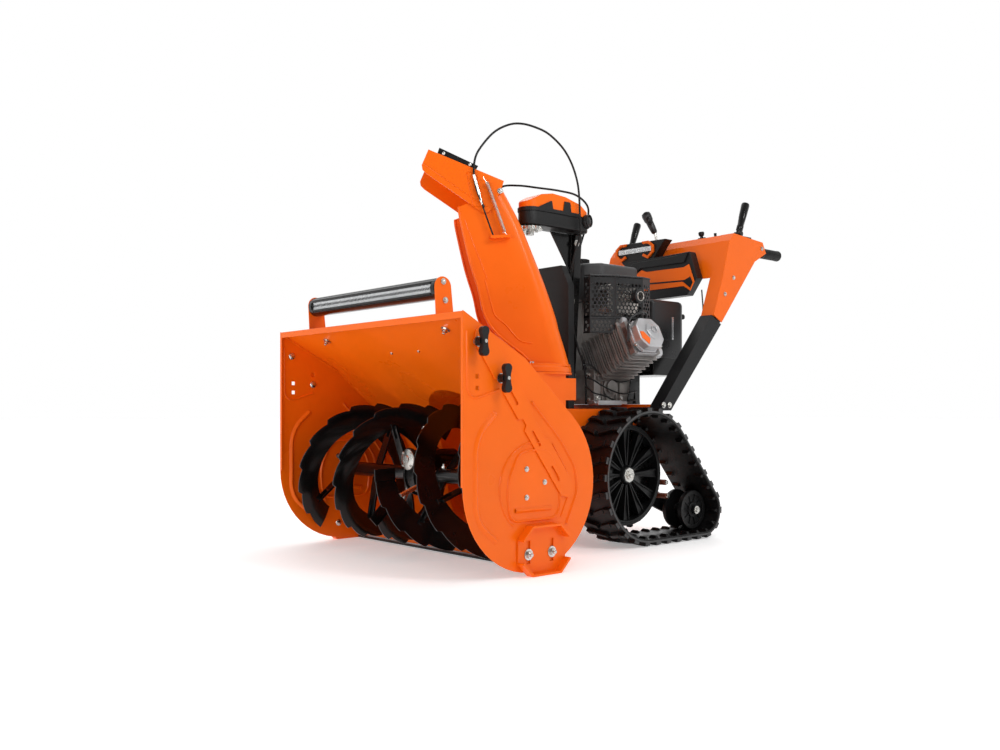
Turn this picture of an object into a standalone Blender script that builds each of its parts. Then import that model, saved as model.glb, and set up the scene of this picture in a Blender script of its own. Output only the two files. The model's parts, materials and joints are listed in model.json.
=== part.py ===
"""Two-stage tracked snow blower as an assembly of separate pieces.

Metres, +Z up. The machine frame has x = 0 on the centre plane with +X on the operator's left,
y = 0 at the front edge of the auger housing with +Y to the rear, and z = 0 on the ground.
One root empty shifts that frame so that the model is centred on its own footprint.
"""

from math import acos, atan2, cos, degrees, hypot, pi, radians, sin, sqrt

import bmesh
import bpy
from mathutils import Matrix, Vector

# Driving dimensions
LENGTH = 1.505
HALF_WIDTH = 0.413
HOUSING_HEIGHT = 0.605
PLATE = 0.003
SHEET = 0.0025
GAP = 0.0004

AUGER_AXIS = Vector((0.0, 0.207, 0.2134))
SIDE_RADIUS = 0.207
WRAPPER_RADIUS = 0.2035
WRAPPER_END = -72
SCRAPER_TOP = 0.0078
AUGER_RADIUS = 0.190
AUGER_INNER_RADIUS = 0.125
AUGER_PITCH = 0.345
AUGER_SPAN = (0.034, 0.398)
AUGER_SHAFT_RADIUS = 0.0125
TEETH_PER_TURN = 16
TOOTH = 0.008

BEND = (0.185, 0.503)
IMPELLER_Z = 0.255
DRUM_RADIUS = 0.183
DRUM_REAR = 0.545
IMPELLER_RADIUS = 0.176
IMPELLER_SHAFT_RADIUS = 0.0098
BELT_PLANE = (0.6305, 0.6465)
CRANK_Z = 0.490
IMPELLER_PULLEY_RADIUS = 0.105
CRANK_PULLEY_RADIUS = 0.0335

CHUTE_AXIS = Vector((0.085, 0.505, 0.0))
CHUTE_HEADING = radians(-35)
CHUTE_HALF_WIDTH = 0.090
CHUTE_RING_RADIUS = 0.1145
CHUTE_RING_Z = (0.487, 0.510)
DEFLECTOR_PIVOT = (0.090, 0.975)

WHEEL_AXIS = (0.778, 0.196)
IDLER_AXIS = (1.024, 0.083)
TRACK_X = (0.147, 0.297)
WHEEL_RADIUS = 0.146
SPOKES = 12
SPROCKET_TEETH = 12
IDLER_RADIUS = 0.058
CARCASS = 0.010
LUG = 0.010
LUG_COUNT = 30

FRAME_HALF_WIDTH = 0.1425
FRAME_TOP = 0.387
CYLINDER_TILT = radians(25)
HANDLE_X = (0.205, 0.2485)
GRIP_X = 0.2285

ORANGE = (0.85, 0.16, 0.01, 1.0)
BLACK = (0.015, 0.015, 0.016, 1.0)
GREY = (0.06, 0.06, 0.065, 1.0)
SILVER = (0.55, 0.55, 0.56, 1.0)
LENS = (0.75, 0.78, 0.80, 1.0)

for leftover in list(bpy.data.objects):
    bpy.data.objects.remove(leftover)

PARTS = bpy.data.collections.new("snow_blower")
CUTTERS = bpy.data.collections.new("cutters")
CUTTERS.hide_render = True
BENCH = bpy.context.scene.collection

ROOT = bpy.data.objects.new("snow_blower", None)
ROOT.location = (0.0, -LENGTH / 2, 0.0)
PARTS.objects.link(ROOT)


# ---------------------------------------------------------------- shape tools

def mesh_from(bm):
    bmesh.ops.recalc_face_normals(bm, faces=bm.faces)
    mesh = bpy.data.meshes.new("shape")
    bm.to_mesh(mesh)
    bm.free()
    return mesh


def baked(obj):
    """The object's evaluated mesh in machine coordinates, with loose caps welded; the object goes."""
    BENCH.objects.link(obj)
    bpy.context.view_layer.update()
    graph = bpy.context.evaluated_depsgraph_get()
    mesh = bpy.data.meshes.new_from_object(obj.evaluated_get(graph))
    mesh.transform(obj.matrix_world)
    bpy.data.objects.remove(obj)
    bm = bmesh.new()
    bm.from_mesh(mesh)
    bmesh.ops.remove_doubles(bm, verts=bm.verts, dist=1e-6)
    return mesh_from(bm)


def box(low, high, frame=None):
    bm = bmesh.new()
    size = [b - a for a, b in zip(low, high)]
    middle = [(a + b) / 2 for a, b in zip(low, high)]
    matrix = Matrix.Translation(middle) @ Matrix.Diagonal((*size, 1.0))
    if frame is not None:
        matrix = frame @ matrix
    bmesh.ops.create_cube(bm, size=1.0, matrix=matrix)
    return mesh_from(bm)


def rod(start, end, radius, sides=16, end_radius=None):
    start, end = Vector(start), Vector(end)
    turn = Vector((0, 0, 1)).rotation_difference(end - start).to_matrix().to_4x4()
    bm = bmesh.new()
    bmesh.ops.create_cone(
        bm, cap_ends=True, segments=sides, radius1=radius,
        radius2=radius if end_radius is None else end_radius,
        depth=(end - start).length, matrix=Matrix.Translation((start + end) / 2) @ turn,
    )
    return mesh_from(bm)


def prism(outline, axis, low, high, holes=()):
    """A flat outline extruded along X, Y or Z; its pairs are (y, z), (x, z) or (x, y)."""
    curve = bpy.data.curves.new("outline", "CURVE")
    curve.dimensions = "2D"
    curve.fill_mode = "BOTH"
    curve.extrude = (high - low) / 2
    for loop in (outline, *holes):
        spline = curve.splines.new("POLY")
        spline.points.add(len(loop) - 1)
        for point, (u, v) in zip(spline.points, loop):
            point.co = (u, v, 0.0, 1.0)
        spline.use_cyclic_u = True
    obj = bpy.data.objects.new("outline", curve)
    middle = (low + high) / 2
    if axis == "x":
        obj.rotation_euler = (pi / 2, 0.0, pi / 2)
        obj.location.x = middle
    elif axis == "y":
        obj.rotation_euler = (pi / 2, 0.0, 0.0)
        obj.location.y = middle
    else:
        obj.location.z = middle
    return baked(obj)


def sheet(path, low, high, thickness):
    """Sheet metal: an open (y, z) line drawn out along X, given its thickness by Solidify."""
    bm = bmesh.new()
    for (y0, z0), (y1, z1) in zip(path, path[1:]):
        corners = [(low, y0, z0), (high, y0, z0), (high, y1, z1), (low, y1, z1)]
        bm.faces.new([bm.verts.new(c) for c in corners])
    bmesh.ops.remove_doubles(bm, verts=bm.verts, dist=1e-6)
    return thickened(mesh_from(bm), thickness)


def thickened(mesh, thickness):
    obj = bpy.data.objects.new("sheet", mesh)
    solidify = obj.modifiers.new("thickness", "SOLIDIFY")
    solidify.thickness = thickness
    solidify.offset = 0.0
    solidify.use_even_offset = True
    return baked(obj)


def turned(profile, centre, axis, steps=24):
    """A closed (radius, distance) profile turned about an axis through centre."""
    bm = bmesh.new()
    verts = [bm.verts.new((r, 0.0, d)) for r, d in profile]
    for a, b in zip(verts, verts[1:] + verts[:1]):
        bm.edges.new((a, b))
    mesh = bpy.data.meshes.new("profile")
    bm.to_mesh(mesh)
    bm.free()
    obj = bpy.data.objects.new("profile", mesh)
    screw = obj.modifiers.new("turn", "SCREW")
    screw.steps = screw.render_steps = steps
    screw.use_merge_vertices = True
    screw.merge_threshold = 1e-5
    obj.rotation_mode = "QUATERNION"
    obj.rotation_quaternion = Vector((0, 0, 1)).rotation_difference(Vector(axis))
    obj.location = centre
    return baked(obj)


def tube(points, radius, resolution=2):
    curve = bpy.data.curves.new("tube", "CURVE")
    curve.dimensions = "3D"
    curve.bevel_depth = radius
    curve.bevel_resolution = resolution
    curve.use_fill_caps = True
    spline = curve.splines.new("POLY")
    spline.points.add(len(points) - 1)
    for point, co in zip(spline.points, points):
        point.co = (*co, 1.0)
    return baked(bpy.data.objects.new("tube", curve))


def smooth(points, per_span):
    """Points read from a Catmull-Rom curve through a route's own points."""
    points = [Vector(p) for p in points]
    ends = [2 * points[0] - points[1], *points, 2 * points[-1] - points[-2]]
    found = []
    for a, b, c, d in zip(ends, ends[1:], ends[2:], ends[3:]):
        for i in range(per_span):
            t = i / per_span
            found.append(0.5 * (2 * b + (c - a) * t + (2 * a - 5 * b + 4 * c - d) * t * t
                                + (3 * b - a - 3 * c + d) * t ** 3))
    return [*found, points[-1]]


def moved(mesh, matrix):
    mesh.transform(matrix)
    return mesh


def mirrored(mesh):
    copy = mesh.copy()
    copy.transform(Matrix.Scale(-1, 4, (1, 0, 0)))
    copy.flip_normals()
    return copy


def arc(centre, radius, start, end, steps):
    """Points on a circle from start to end degrees, both included."""
    angles = [radians(start + (end - start) * i / steps) for i in range(steps + 1)]
    return [(centre[0] + radius * cos(a), centre[1] + radius * sin(a)) for a in angles]


def tangent_angle(point, centre, radius):
    """Degrees at which a line from an outside point touches the circle's rear side."""
    dy, dz = point[0] - centre[0], point[1] - centre[1]
    return degrees(atan2(dz, dy) - acos(radius / hypot(dy, dz)))


def helper(mesh, collection):
    obj = bpy.data.objects.new("helper", mesh)
    obj.parent = ROOT
    obj.hide_render = True
    obj.display_type = "WIRE"
    collection.objects.link(obj)


def piece(name, color, roughness, metallic, shapes, cuts=(), at=(0, 0, 0), turn=0.0):
    """One sub-part: its shapes joined into one body, less its cuts, with its origin at a point."""
    frame = Matrix.Translation(at) @ Matrix.Rotation(turn, 4, "Z")
    base = moved(shapes[0], frame.inverted())
    base.name = name
    obj = bpy.data.objects.new(name, base)
    obj.location = at
    obj.rotation_euler.z = turn
    obj.parent = ROOT
    PARTS.objects.link(obj)
    for operation, meshes in (("UNION", shapes[1:]), ("DIFFERENCE", cuts)):
        if not meshes:
            continue
        group = bpy.data.collections.new(f"{name}_{operation.lower()}")
        group.hide_render = True
        CUTTERS.children.link(group)
        for mesh in meshes:
            helper(mesh, group)
        modifier = obj.modifiers.new(operation.lower(), "BOOLEAN")
        modifier.operation = operation
        modifier.operand_type = "COLLECTION"
        modifier.collection = group
        modifier.solver = "EXACT"
    material = bpy.data.materials.new(f"{name}_finish")
    material.use_nodes = True
    shader = material.node_tree.nodes["Principled BSDF"]
    shader.inputs["Base Color"].default_value = color
    shader.inputs["Roughness"].default_value = roughness
    shader.inputs["Metallic"].default_value = metallic
    base.materials.append(material)
    return obj


def pair(name, color, roughness, metallic, build, at=(0, 0, 0)):
    """Left and right copies; build returns the left one's shapes and cuts."""
    for side, sign in (("left", 1), ("right", -1)):
        shapes, cuts = build()
        if sign < 0:
            shapes = [mirrored(m) for m in shapes]
            cuts = [mirrored(m) for m in cuts]
        piece(f"{name}_{side}", color, roughness, metallic, shapes, cuts,
              (sign * at[0], at[1], at[2]))


# ---------------------------------------------------------------- auger housing

def side_outline():
    centre = (AUGER_AXIS.y, AUGER_AXIS.z)
    top_rear = (0.186, 0.505)
    end = tangent_angle(top_rear, centre, SIDE_RADIUS)
    return [top_rear, (0.0, HOUSING_HEIGHT), *arc(centre, SIDE_RADIUS, 180, 360 + end, 34)]


def wrapper_line(out=0.0):
    """The middle line of the wrapper sheet from its bend down to the lip that holds the scraper."""
    centre = (AUGER_AXIS.y, AUGER_AXIS.z)
    bend = (BEND[0] + 0.66 * out, BEND[1] + 0.94 * out)
    radius = WRAPPER_RADIUS + out
    curve = arc(centre, radius, tangent_angle(bend, centre, radius), WRAPPER_END, 20)
    return [bend, *curve, (curve[-1][0] + 0.001, SCRAPER_TOP + 0.0016)]


def side_plate():
    square = 0.005
    holes = [(0.041, 0.460), (0.041, 0.434), (0.104, 0.486)]
    loops = [[(y - square, z - square), (y + square, z - square),
              (y + square, z + square), (y - square, z + square)] for y, z in holes]
    return [prism(side_outline(), "x", HALF_WIDTH - PLATE, HALF_WIDTH, loops)], []


def housing():
    pair("housing_side", ORANGE, 0.35, 0.0, side_plate)
    reach = HALF_WIDTH - PLATE - GAP
    lip = [(0.0015, 0.588), (0.0015, 0.6015)]
    opening = rod((0, 0.22, IMPELLER_Z), (0, 0.45, IMPELLER_Z), DRUM_RADIUS, 36)
    piece("housing_wrapper", ORANGE, 0.35, 0.0,
          [sheet(lip + wrapper_line(), -reach, reach, SHEET)], [opening])

    neck_x = (-0.020, 0.190)
    neck_y = (0.400, DRUM_REAR - 0.004)
    wall = 0.003
    flange = CHUTE_RING_Z[0] - 0.0005
    centre = CHUTE_AXIS.xy
    outer = [
        rod((0, 0.22, IMPELLER_Z), (0, DRUM_REAR, IMPELLER_Z), DRUM_RADIUS + 0.0035, 36),
        box((neck_x[0], neck_y[0], IMPELLER_Z), (neck_x[1], neck_y[1], flange - 0.002)),
        rod((*centre, flange - 0.005), (*centre, flange), CHUTE_RING_RADIUS + 0.002, 32),
        box((0.150, neck_y[1] - 0.002, 0.411), (neck_x[1], 0.581, 0.471)),
    ]
    in_front = [(-0.10, 0.62), *wrapper_line(SHEET / 2 + GAP)[:-1], (0.10, -0.05), (-0.10, -0.05)]
    inner = [
        rod((0, 0.20, IMPELLER_Z), (0, DRUM_REAR - wall, IMPELLER_Z), DRUM_RADIUS, 36),
        box((neck_x[0] + wall, neck_y[0] + wall, IMPELLER_Z),
            (neck_x[1] - wall, neck_y[1] - wall, flange - 0.0085)),
        rod((*centre, flange - 0.020), (*centre, flange + 0.01), 0.0975, 32),
        rod((0, 0.5, IMPELLER_Z), (0, 0.6, IMPELLER_Z), 0.014),
        prism(in_front, "x", -0.25, 0.25),
    ]
    piece("impeller_drum", ORANGE, 0.35, 0.0, outer, inner)
    piece("scraper_bar", BLACK, 0.5, 0.6, [box((-reach, 0.258, 0.0015), (reach, 0.302, SCRAPER_TOP))])


def skid_shoe():
    y0, y1, top, chamfer, wall = 0.159, 0.311, 0.117, 0.030, 0.005
    inside, outside = HALF_WIDTH + GAP, 0.437

    def octagon(inset):
        a, b, c, d, k = y0 + inset, y1 - inset, inset, top - inset, chamfer - 0.4 * inset
        return [(a + k, c), (b - k, c), (b, c + k), (b, d - k),
                (b - k, d), (a + k, d), (a, d - k), (a, c + k)]

    plate = inside + 0.004
    slots = [box((inside - 0.01, y - 0.006, 0.028), (outside, y + 0.006, 0.082))
             for y in (0.191, 0.266)]
    sides = [box((plate, y - 0.007, 0.034), (outside + 0.01, y + 0.007, 0.083)) for y in (y0, y1)]
    hollow = prism(octagon(wall), "x", plate, outside + 0.01)
    return [prism(octagon(0.0), "x", inside, outside)], [hollow, *slots, *sides]


DRIFT_TOP = Vector((0.040, 0.567))
DRIFT_END = Vector((0.330, 0.176))
DRIFT_X = (HALF_WIDTH + GAP, HALF_WIDTH + GAP + 0.004)
KNOBS = {"upper": (0.038, 0.537), "lower": (0.105, 0.457)}


def drift_cutter():
    along = (DRIFT_END - DRIFT_TOP).normalized()
    across = Vector((-along.y, along.x))
    length = (DRIFT_END - DRIFT_TOP).length
    half = 0.026
    corner = 0.018

    def at(u, v):
        point = DRIFT_TOP + along * u + across * v
        return (point.x, point.y)

    loop = [at(0, half - corner), at(0, corner - half), at(corner, -half), at(length - corner, -half),
            at(length, corner - half), at(length, half - corner), at(length - corner, half),
            at(corner, half)]
    holes = []
    for u in (0.165, 0.285, 0.375):
        holes.append([at(u, -0.018), at(u + 0.022, -0.018), at(u + 0.022, -0.010), at(u, -0.010)])
    return [prism(loop, "x", *DRIFT_X, holes)], []


def drift_knob(y, z):
    x0 = DRIFT_X[1] + GAP

    def build():
        hub = rod((x0, y, z), (0.448, y, z), 0.011, 12)
        lobes = [rod((0.434, y, z + s * 0.024), (0.446, y, z + s * 0.024), 0.0095, 12)
                 for s in (-1, 1)]
        bar = box((0.435, y - 0.0075, z - 0.024), (0.445, y + 0.0075, z + 0.024))
        return [hub, bar, *lobes], []

    return build


def light_bar():
    y, z, radius, reach = 0.042, 0.667, 0.025, 0.2835
    slot = box((-0.270, 0.0, z - 0.016), (0.270, y - 0.018, z + 0.016))
    piece("light_bar_body", BLACK, 0.35, 0.3,
          [rod((-reach, y, z), (reach, y, z), radius, 32)], [slot])
    chord = radius - 0.001
    front = arc((y, z), chord, 180 - 37, 180 + 37, 8)
    piece("light_bar_lens", LENS, 0.15, 0.0,
          [prism([*front, (y - 0.0184, front[-1][1]), (y - 0.0184, front[0][1])], "x", -0.269, 0.269)])

    def bracket():
        slope = (HOUSING_HEIGHT - 0.505) / 0.186
        foot = [(0.078, 0.6052 - slope * 0.078), (0.022, 0.6052 - slope * 0.022)]
        top = arc((0.042, 0.671), 0.024, 180, 0, 12)
        return [prism([foot[1], *top, foot[0]], "x", reach + 0.0015, reach + 0.0045)], []

    pair("light_bracket", ORANGE, 0.35, 0.0, bracket)


# ---------------------------------------------------------------- auger and impeller

def ribbon(start_angle, sign=1):
    """A serrated helical flight; x grows with the angle about the auger axis."""
    per_tooth = 3
    step = 360.0 / (TEETH_PER_TURN * per_tooth)
    turns = (AUGER_SPAN[1] - AUGER_SPAN[0]) / AUGER_PITCH
    count = int(turns * 360 / step)
    bm = bmesh.new()
    rings = []
    for i in range(count + 1):
        angle = radians(start_angle + i * step)
        x = AUGER_SPAN[0] + AUGER_PITCH * i * step / 360
        outer = AUGER_RADIUS - TOOTH * (1 - (i % per_tooth) / (per_tooth - 1))
        radial = Vector((0, cos(angle), sin(angle)))
        section = []
        for r, dx in ((AUGER_INNER_RADIUS, -1), (outer, -1), (outer, 1), (AUGER_INNER_RADIUS, 1)):
            point = AUGER_AXIS + radial * r + Vector((x + dx * 0.0018, 0, 0))
            section.append(bm.verts.new(point))
        rings.append(section)
    for a, b in zip(rings, rings[1:]):
        for k in range(4):
            bm.faces.new((a[k], b[k], b[(k + 1) % 4], a[(k + 1) % 4]))
    bm.faces.new(rings[0])
    bm.faces.new(rings[-1][::-1])
    return mesh_from(bm)


def flight_angle(start_angle, x):
    return radians(start_angle + 360 * (x - AUGER_SPAN[0]) / AUGER_PITCH)


def spoke(angle, x):
    """A flat bar from the hub tube out to a flight at this angle and x."""
    frame = Matrix.Translation(AUGER_AXIS + Vector((x, 0, 0))) @ Matrix.Rotation(angle, 4, "X")
    return box((-0.014, 0.012, -0.0035), (0.014, AUGER_INNER_RADIUS + 0.012, 0.0035), frame)


def auger_half(first_angle):
    hub = rod((0.066, *AUGER_AXIS.yz), (0.400, *AUGER_AXIS.yz), 0.021, 20)
    bore = rod((0.05, *AUGER_AXIS.yz), (0.42, *AUGER_AXIS.yz), AUGER_SHAFT_RADIUS + GAP, 20)
    flights = [ribbon(first_angle), ribbon(first_angle + 180)]
    spokes = [spoke(flight_angle(start, x), x)
              for start in (first_angle, first_angle + 180) for x in (0.085, 0.230, 0.375)]
    return [hub, *flights, *spokes], [bore]


def auger():
    ends = HALF_WIDTH - PLATE - 0.001
    axis = AUGER_AXIS
    piece("auger_shaft", SILVER, 0.4, 1.0,
          [rod((-ends, *axis.yz), (ends, *axis.yz), AUGER_SHAFT_RADIUS)], at=axis)
    shapes, cuts = auger_half(-3)
    piece("auger_left", BLACK, 0.3, 0.2, shapes, cuts, at=axis)
    shapes, cuts = auger_half(51)
    piece("auger_right", BLACK, 0.3, 0.2, [mirrored(m) for m in shapes],
          [mirrored(m) for m in cuts], at=axis)

    case = [rod((-0.027, *axis.yz), (0.027, *axis.yz), 0.054, 32),
            rod((0, 0.150, IMPELLER_Z), (0, 0.300, IMPELLER_Z), 0.025),
            rod((0, 0.150, IMPELLER_Z), (0, 0.158, IMPELLER_Z), 0.030),
            rod((0, axis.y, axis.z), (0, axis.y, axis.z + 0.085), 0.012, 16),
            rod((-0.040, *axis.yz), (0.040, *axis.yz), 0.024)]
    bores = [rod((-0.05, *axis.yz), (0.05, *axis.yz), AUGER_SHAFT_RADIUS + 0.001),
             rod((0, 0.165, IMPELLER_Z), (0, 0.35, IMPELLER_Z), IMPELLER_SHAFT_RADIUS + 0.0007)]
    piece("gearcase", SILVER, 0.4, 0.9, case, bores)


def impeller():
    axis = Vector((0, 0.480, IMPELLER_Z))
    blades = []
    for k in range(4):
        frame = Matrix.Translation((0, 0, IMPELLER_Z)) @ Matrix.Rotation(k * pi / 2, 4, "Y")
        blades.append(box((0.015, 0.440, -0.002), (IMPELLER_RADIUS, 0.532, 0.002), frame))
    hub = rod((0, 0.435, IMPELLER_Z), (0, 0.537, IMPELLER_Z), 0.024)
    back = rod((0, 0.530, IMPELLER_Z), (0, 0.534, IMPELLER_Z), 0.110, 32)
    bore = rod((0, 0.40, IMPELLER_Z), (0, 0.56, IMPELLER_Z), IMPELLER_SHAFT_RADIUS + GAP)
    piece("impeller", ORANGE, 0.4, 0.0, [hub, back, *blades], [bore], at=axis)
    shaft = rod((0, 0.172, IMPELLER_Z), (0, 0.6475, IMPELLER_Z), IMPELLER_SHAFT_RADIUS)
    piece("impeller_shaft", GREY, 0.4, 0.8,
          [pulley(IMPELLER_PULLEY_RADIUS, IMPELLER_Z, 28), shaft], at=axis)


def pulley(radius, z, steps):
    """A flanged V pulley across the belt plane, turned about Y."""
    y0, y1 = BELT_PLANE
    flange = radius + 0.008
    profile = [(0.004, y1), (flange, y1), (flange, y1 - 0.002), (radius, y1 - 0.003),
               (radius, y0 + 0.003), (flange, y0 + 0.002), (flange, y0), (0.004, y0)]
    return turned(profile, (0, 0, z), (0, 1, 0), steps)


def belt_drive():
    shaft = rod((0, BELT_PLANE[0], CRANK_Z), (0, 0.755, CRANK_Z), 0.0125)
    piece("crank_pulley", GREY, 0.4, 0.8, [pulley(CRANK_PULLEY_RADIUS, CRANK_Z, 20), shaft],
          at=(0, 0.64, CRANK_Z))

    def loop(offset):
        low = (0, IMPELLER_Z, IMPELLER_PULLEY_RADIUS + offset)
        high = (0, CRANK_Z, CRANK_PULLEY_RADIUS + offset)
        lean = degrees(acos((low[2] - high[2]) / (high[1] - low[1])))
        return [*arc(low[:2], low[2], 90 + lean, 450 - lean, 24),
                *arc(high[:2], high[2], 90 - lean, 90 + lean, 12)]

    piece("drive_belt", BLACK, 0.8, 0.0,
          [prism(loop(0.006), "y", BELT_PLANE[0] + 0.0036, BELT_PLANE[1] - 0.0036, [loop(0.0008)])])

    def cover(inset, low):
        half, top = 0.115 - inset, 0.800 - inset
        return [(-half, low), (half, low), (half, top - 0.06), (half - 0.03, top),
                (0.03 - half, top), (-half, top - 0.06)]

    piece("belt_cover", BLACK, 0.5, 0.0,
          [prism(cover(0.0, FRAME_TOP + 0.0005), "y", 0.6265, 0.6505)],
          [prism(cover(0.0025, 0.35), "y", 0.6290, 0.70)])


# ---------------------------------------------------------------- chute

CHUTE_FRAME = Matrix.Translation(CHUTE_AXIS) @ Matrix.Rotation(CHUTE_HEADING, 4, "Z")

# Back and front edge of the chute at each section: distance along the heading, height, corner.
CHUTE_SECTIONS = (
    ((-0.102, 0.504), (0.002, 0.504), 0.050),
    ((-0.088, 0.552), (0.040, 0.540), 0.048),
    ((-0.072, 0.602), (0.104, 0.590), 0.046),
    ((-0.062, 0.640), (0.137, 0.640), 0.045),
    ((-0.036, 0.715), (0.153, 0.708), 0.042),
    ((-0.008, 0.785), (0.177, 0.786), 0.038),
    ((0.036, 0.888), (0.203, 0.900), 0.032),
    ((0.083, 0.976), (0.206, 0.928), 0.026),
)


def chute_point(s, t, z):
    """Chute coordinates: s along the discharge heading, t across to the left, z up."""
    return CHUTE_FRAME @ Vector((t, -s, z))


def chute_section(back, front, corner):
    """A U from the left front edge round the back to the right front edge."""
    half = CHUTE_HALF_WIDTH - 0.0015
    length = hypot(front[0] - back[0], front[1] - back[1])
    u = ((front[0] - back[0]) / length, (front[1] - back[1]) / length)
    side = [(length, half), (corner, half)]
    bend = [(corner - corner * sin(a), half - corner + corner * cos(a))
            for a in (radians(k * 22.5) for k in (1, 2, 3, 4))]
    left = [*side, *bend]
    flat = [*left, *[(d, -t) for d, t in reversed(left)]]
    return [chute_point(back[0] + u[0] * d, t, back[1] + u[1] * d) for d, t in flat]


def chute_shell():
    bm = bmesh.new()
    rows = [[bm.verts.new(p) for p in chute_section(*s)] for s in CHUTE_SECTIONS]
    for low, high in zip(rows, rows[1:]):
        for k in range(len(low) - 1):
            bm.faces.new((low[k], low[k + 1], high[k + 1], high[k]))
    return thickened(mesh_from(bm), PLATE)


def chute_box(low, high):
    """A box given by its corners in chute coordinates (s, t, z)."""
    return box((low[1], -high[0], low[2]), (high[1], -low[0], high[2]), CHUTE_FRAME)


def chute_prism(outline, low, high):
    """An (s, z) outline extruded across the chute from t = low to t = high."""
    return moved(prism([(-s, z) for s, z in outline], "x", low, high), CHUTE_FRAME)


def chute():
    centre = CHUTE_AXIS.xy
    ring = rod((*centre, CHUTE_RING_Z[0]), (*centre, CHUTE_RING_Z[1]), CHUTE_RING_RADIUS, 32)
    bore = rod((*centre, 0.40), (*centre, CHUTE_RING_Z[1] - 0.0085), 0.0985, 32)
    mouth = rod((*centre, 0.45), (*centre, 0.5103), 0.0850, 32)
    tab = chute_box((0.070, 0.0875, 0.845), (0.118, 0.112, 0.850))
    piece("chute", ORANGE, 0.35, 0.0, [chute_shell(), ring, tab], [bore, mouth],
          at=CHUTE_AXIS, turn=CHUTE_HEADING)

    teeth = 18
    gear = []
    for k in range(teeth * 2):
        radius = 0.034 if k % 2 else 0.0305
        gear += arc((0, 0), radius, (k - 0.3) * 180 / teeth, (k + 0.3) * 180 / teeth, 1)
    lug = chute_box((0.012, -0.020, 0.8745), (0.0285, 0.020, 0.889))
    stem = rod((*centre, 0.872), (*centre, 0.896), 0.011, 20)
    clear = chute_box((0.0275, -0.05, 0.880), (0.06, 0.05, 0.900))
    wheel = [moved(prism(gear, "z", 0.885, 0.8935), Matrix.Translation(CHUTE_AXIS)), stem, lug]
    piece("chute_gear", SILVER, 0.35, 1.0, wheel, [clear], at=CHUTE_AXIS, turn=CHUTE_HEADING)


DEFLECTOR_TOP = ((0.084, 0.999), (0.286, 1.078))


def deflector():
    pivot = chute_point(DEFLECTOR_PIVOT[0], 0.0, DEFLECTOR_PIVOT[1])
    outer = CHUTE_HALF_WIDTH + 0.0055
    (s0, z0), (s1, z1) = DEFLECTOR_TOP
    outline = [(s0, z0), (s1, z1), (0.304, 1.036), (0.302, 1.024), (0.292, 1.014),
               (0.144, 0.915), (0.135, 0.912), (0.126, 0.914), (0.114, 0.926), (0.088, 0.985)]
    top = [(s0, z0), (s1, z1), (s1 + 0.001, z1 - 0.0032), (s0 + 0.001, z0 - 0.0032)]
    shapes = [chute_prism(top, -outer, outer), chute_prism(outline, outer - PLATE, outer),
              chute_prism(outline, -outer, PLATE - outer)]
    piece("deflector", ORANGE, 0.35, 0.0, shapes, at=pivot, turn=CHUTE_HEADING)
    strip = [(0.158, 1.0290), (0.262, 1.0697), (0.257, 1.0840), (0.153, 1.0380)]
    piece("deflector_strip", BLACK, 0.6, 0.0, [chute_prism(strip, outer - 0.006, outer - 0.001)],
          at=pivot, turn=CHUTE_HEADING)

    t = 0.1045
    route = [chute_point(s, t, z) for s, z in
             ((0.140, 1.007), (0.131, 0.992), (0.083, 0.860), (0.078, 0.8520))]
    piece("deflector_spring", SILVER, 0.35, 1.0,
          [tube(route[1:3], 0.0055, 4), tube(route, 0.0015)], at=route[0], turn=CHUTE_HEADING)


# ---------------------------------------------------------------- tower and cables

def head_outline(inset):
    half = 0.036 - inset
    nose = 0.033 - inset
    x, y = CHUTE_AXIS.x, CHUTE_AXIS.y
    rear = 0.7175 - inset
    return [*arc((x, y), nose, 180, 360, 16), (x + half, y + 0.045), (x + half, rear - 0.02),
            (x + half - 0.018, rear), (x - half + 0.018, rear), (x - half, rear - 0.02),
            (x - half, y + 0.045)]


def tower():
    lean = [(0.652, FRAME_TOP + 0.0005), (0.680, FRAME_TOP + 0.0005), (0.714, 0.8965), (0.686, 0.8965)]
    gusset = [(0.600, 0.8965), (0.700, 0.8965), (0.694, 0.810), (0.676, 0.790)]
    piece("chute_post", BLACK, 0.45, 0.2,
          [prism(lean, "x", 0.050, 0.085), prism(gusset, "x", 0.0640, 0.0700)])
    piece("gear_head_base", BLACK, 0.5, 0.0, [prism(head_outline(0.0), "z", 0.897, 0.940)])
    above = [(0.40, 0.962), (0.478, 0.962), (0.520, 0.984), (0.560, 0.991), (0.610, 0.988),
             (0.670, 0.974), (0.698, 0.955), (0.706, 0.930), (0.80, 0.930), (0.80, 1.10), (0.40, 1.10)]
    piece("gear_head_cover", ORANGE, 0.35, 0.0,
          [prism(head_outline(0.001), "z", 0.9405, 1.0)], [prism(above, "x", 0.0, 0.2)])


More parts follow.
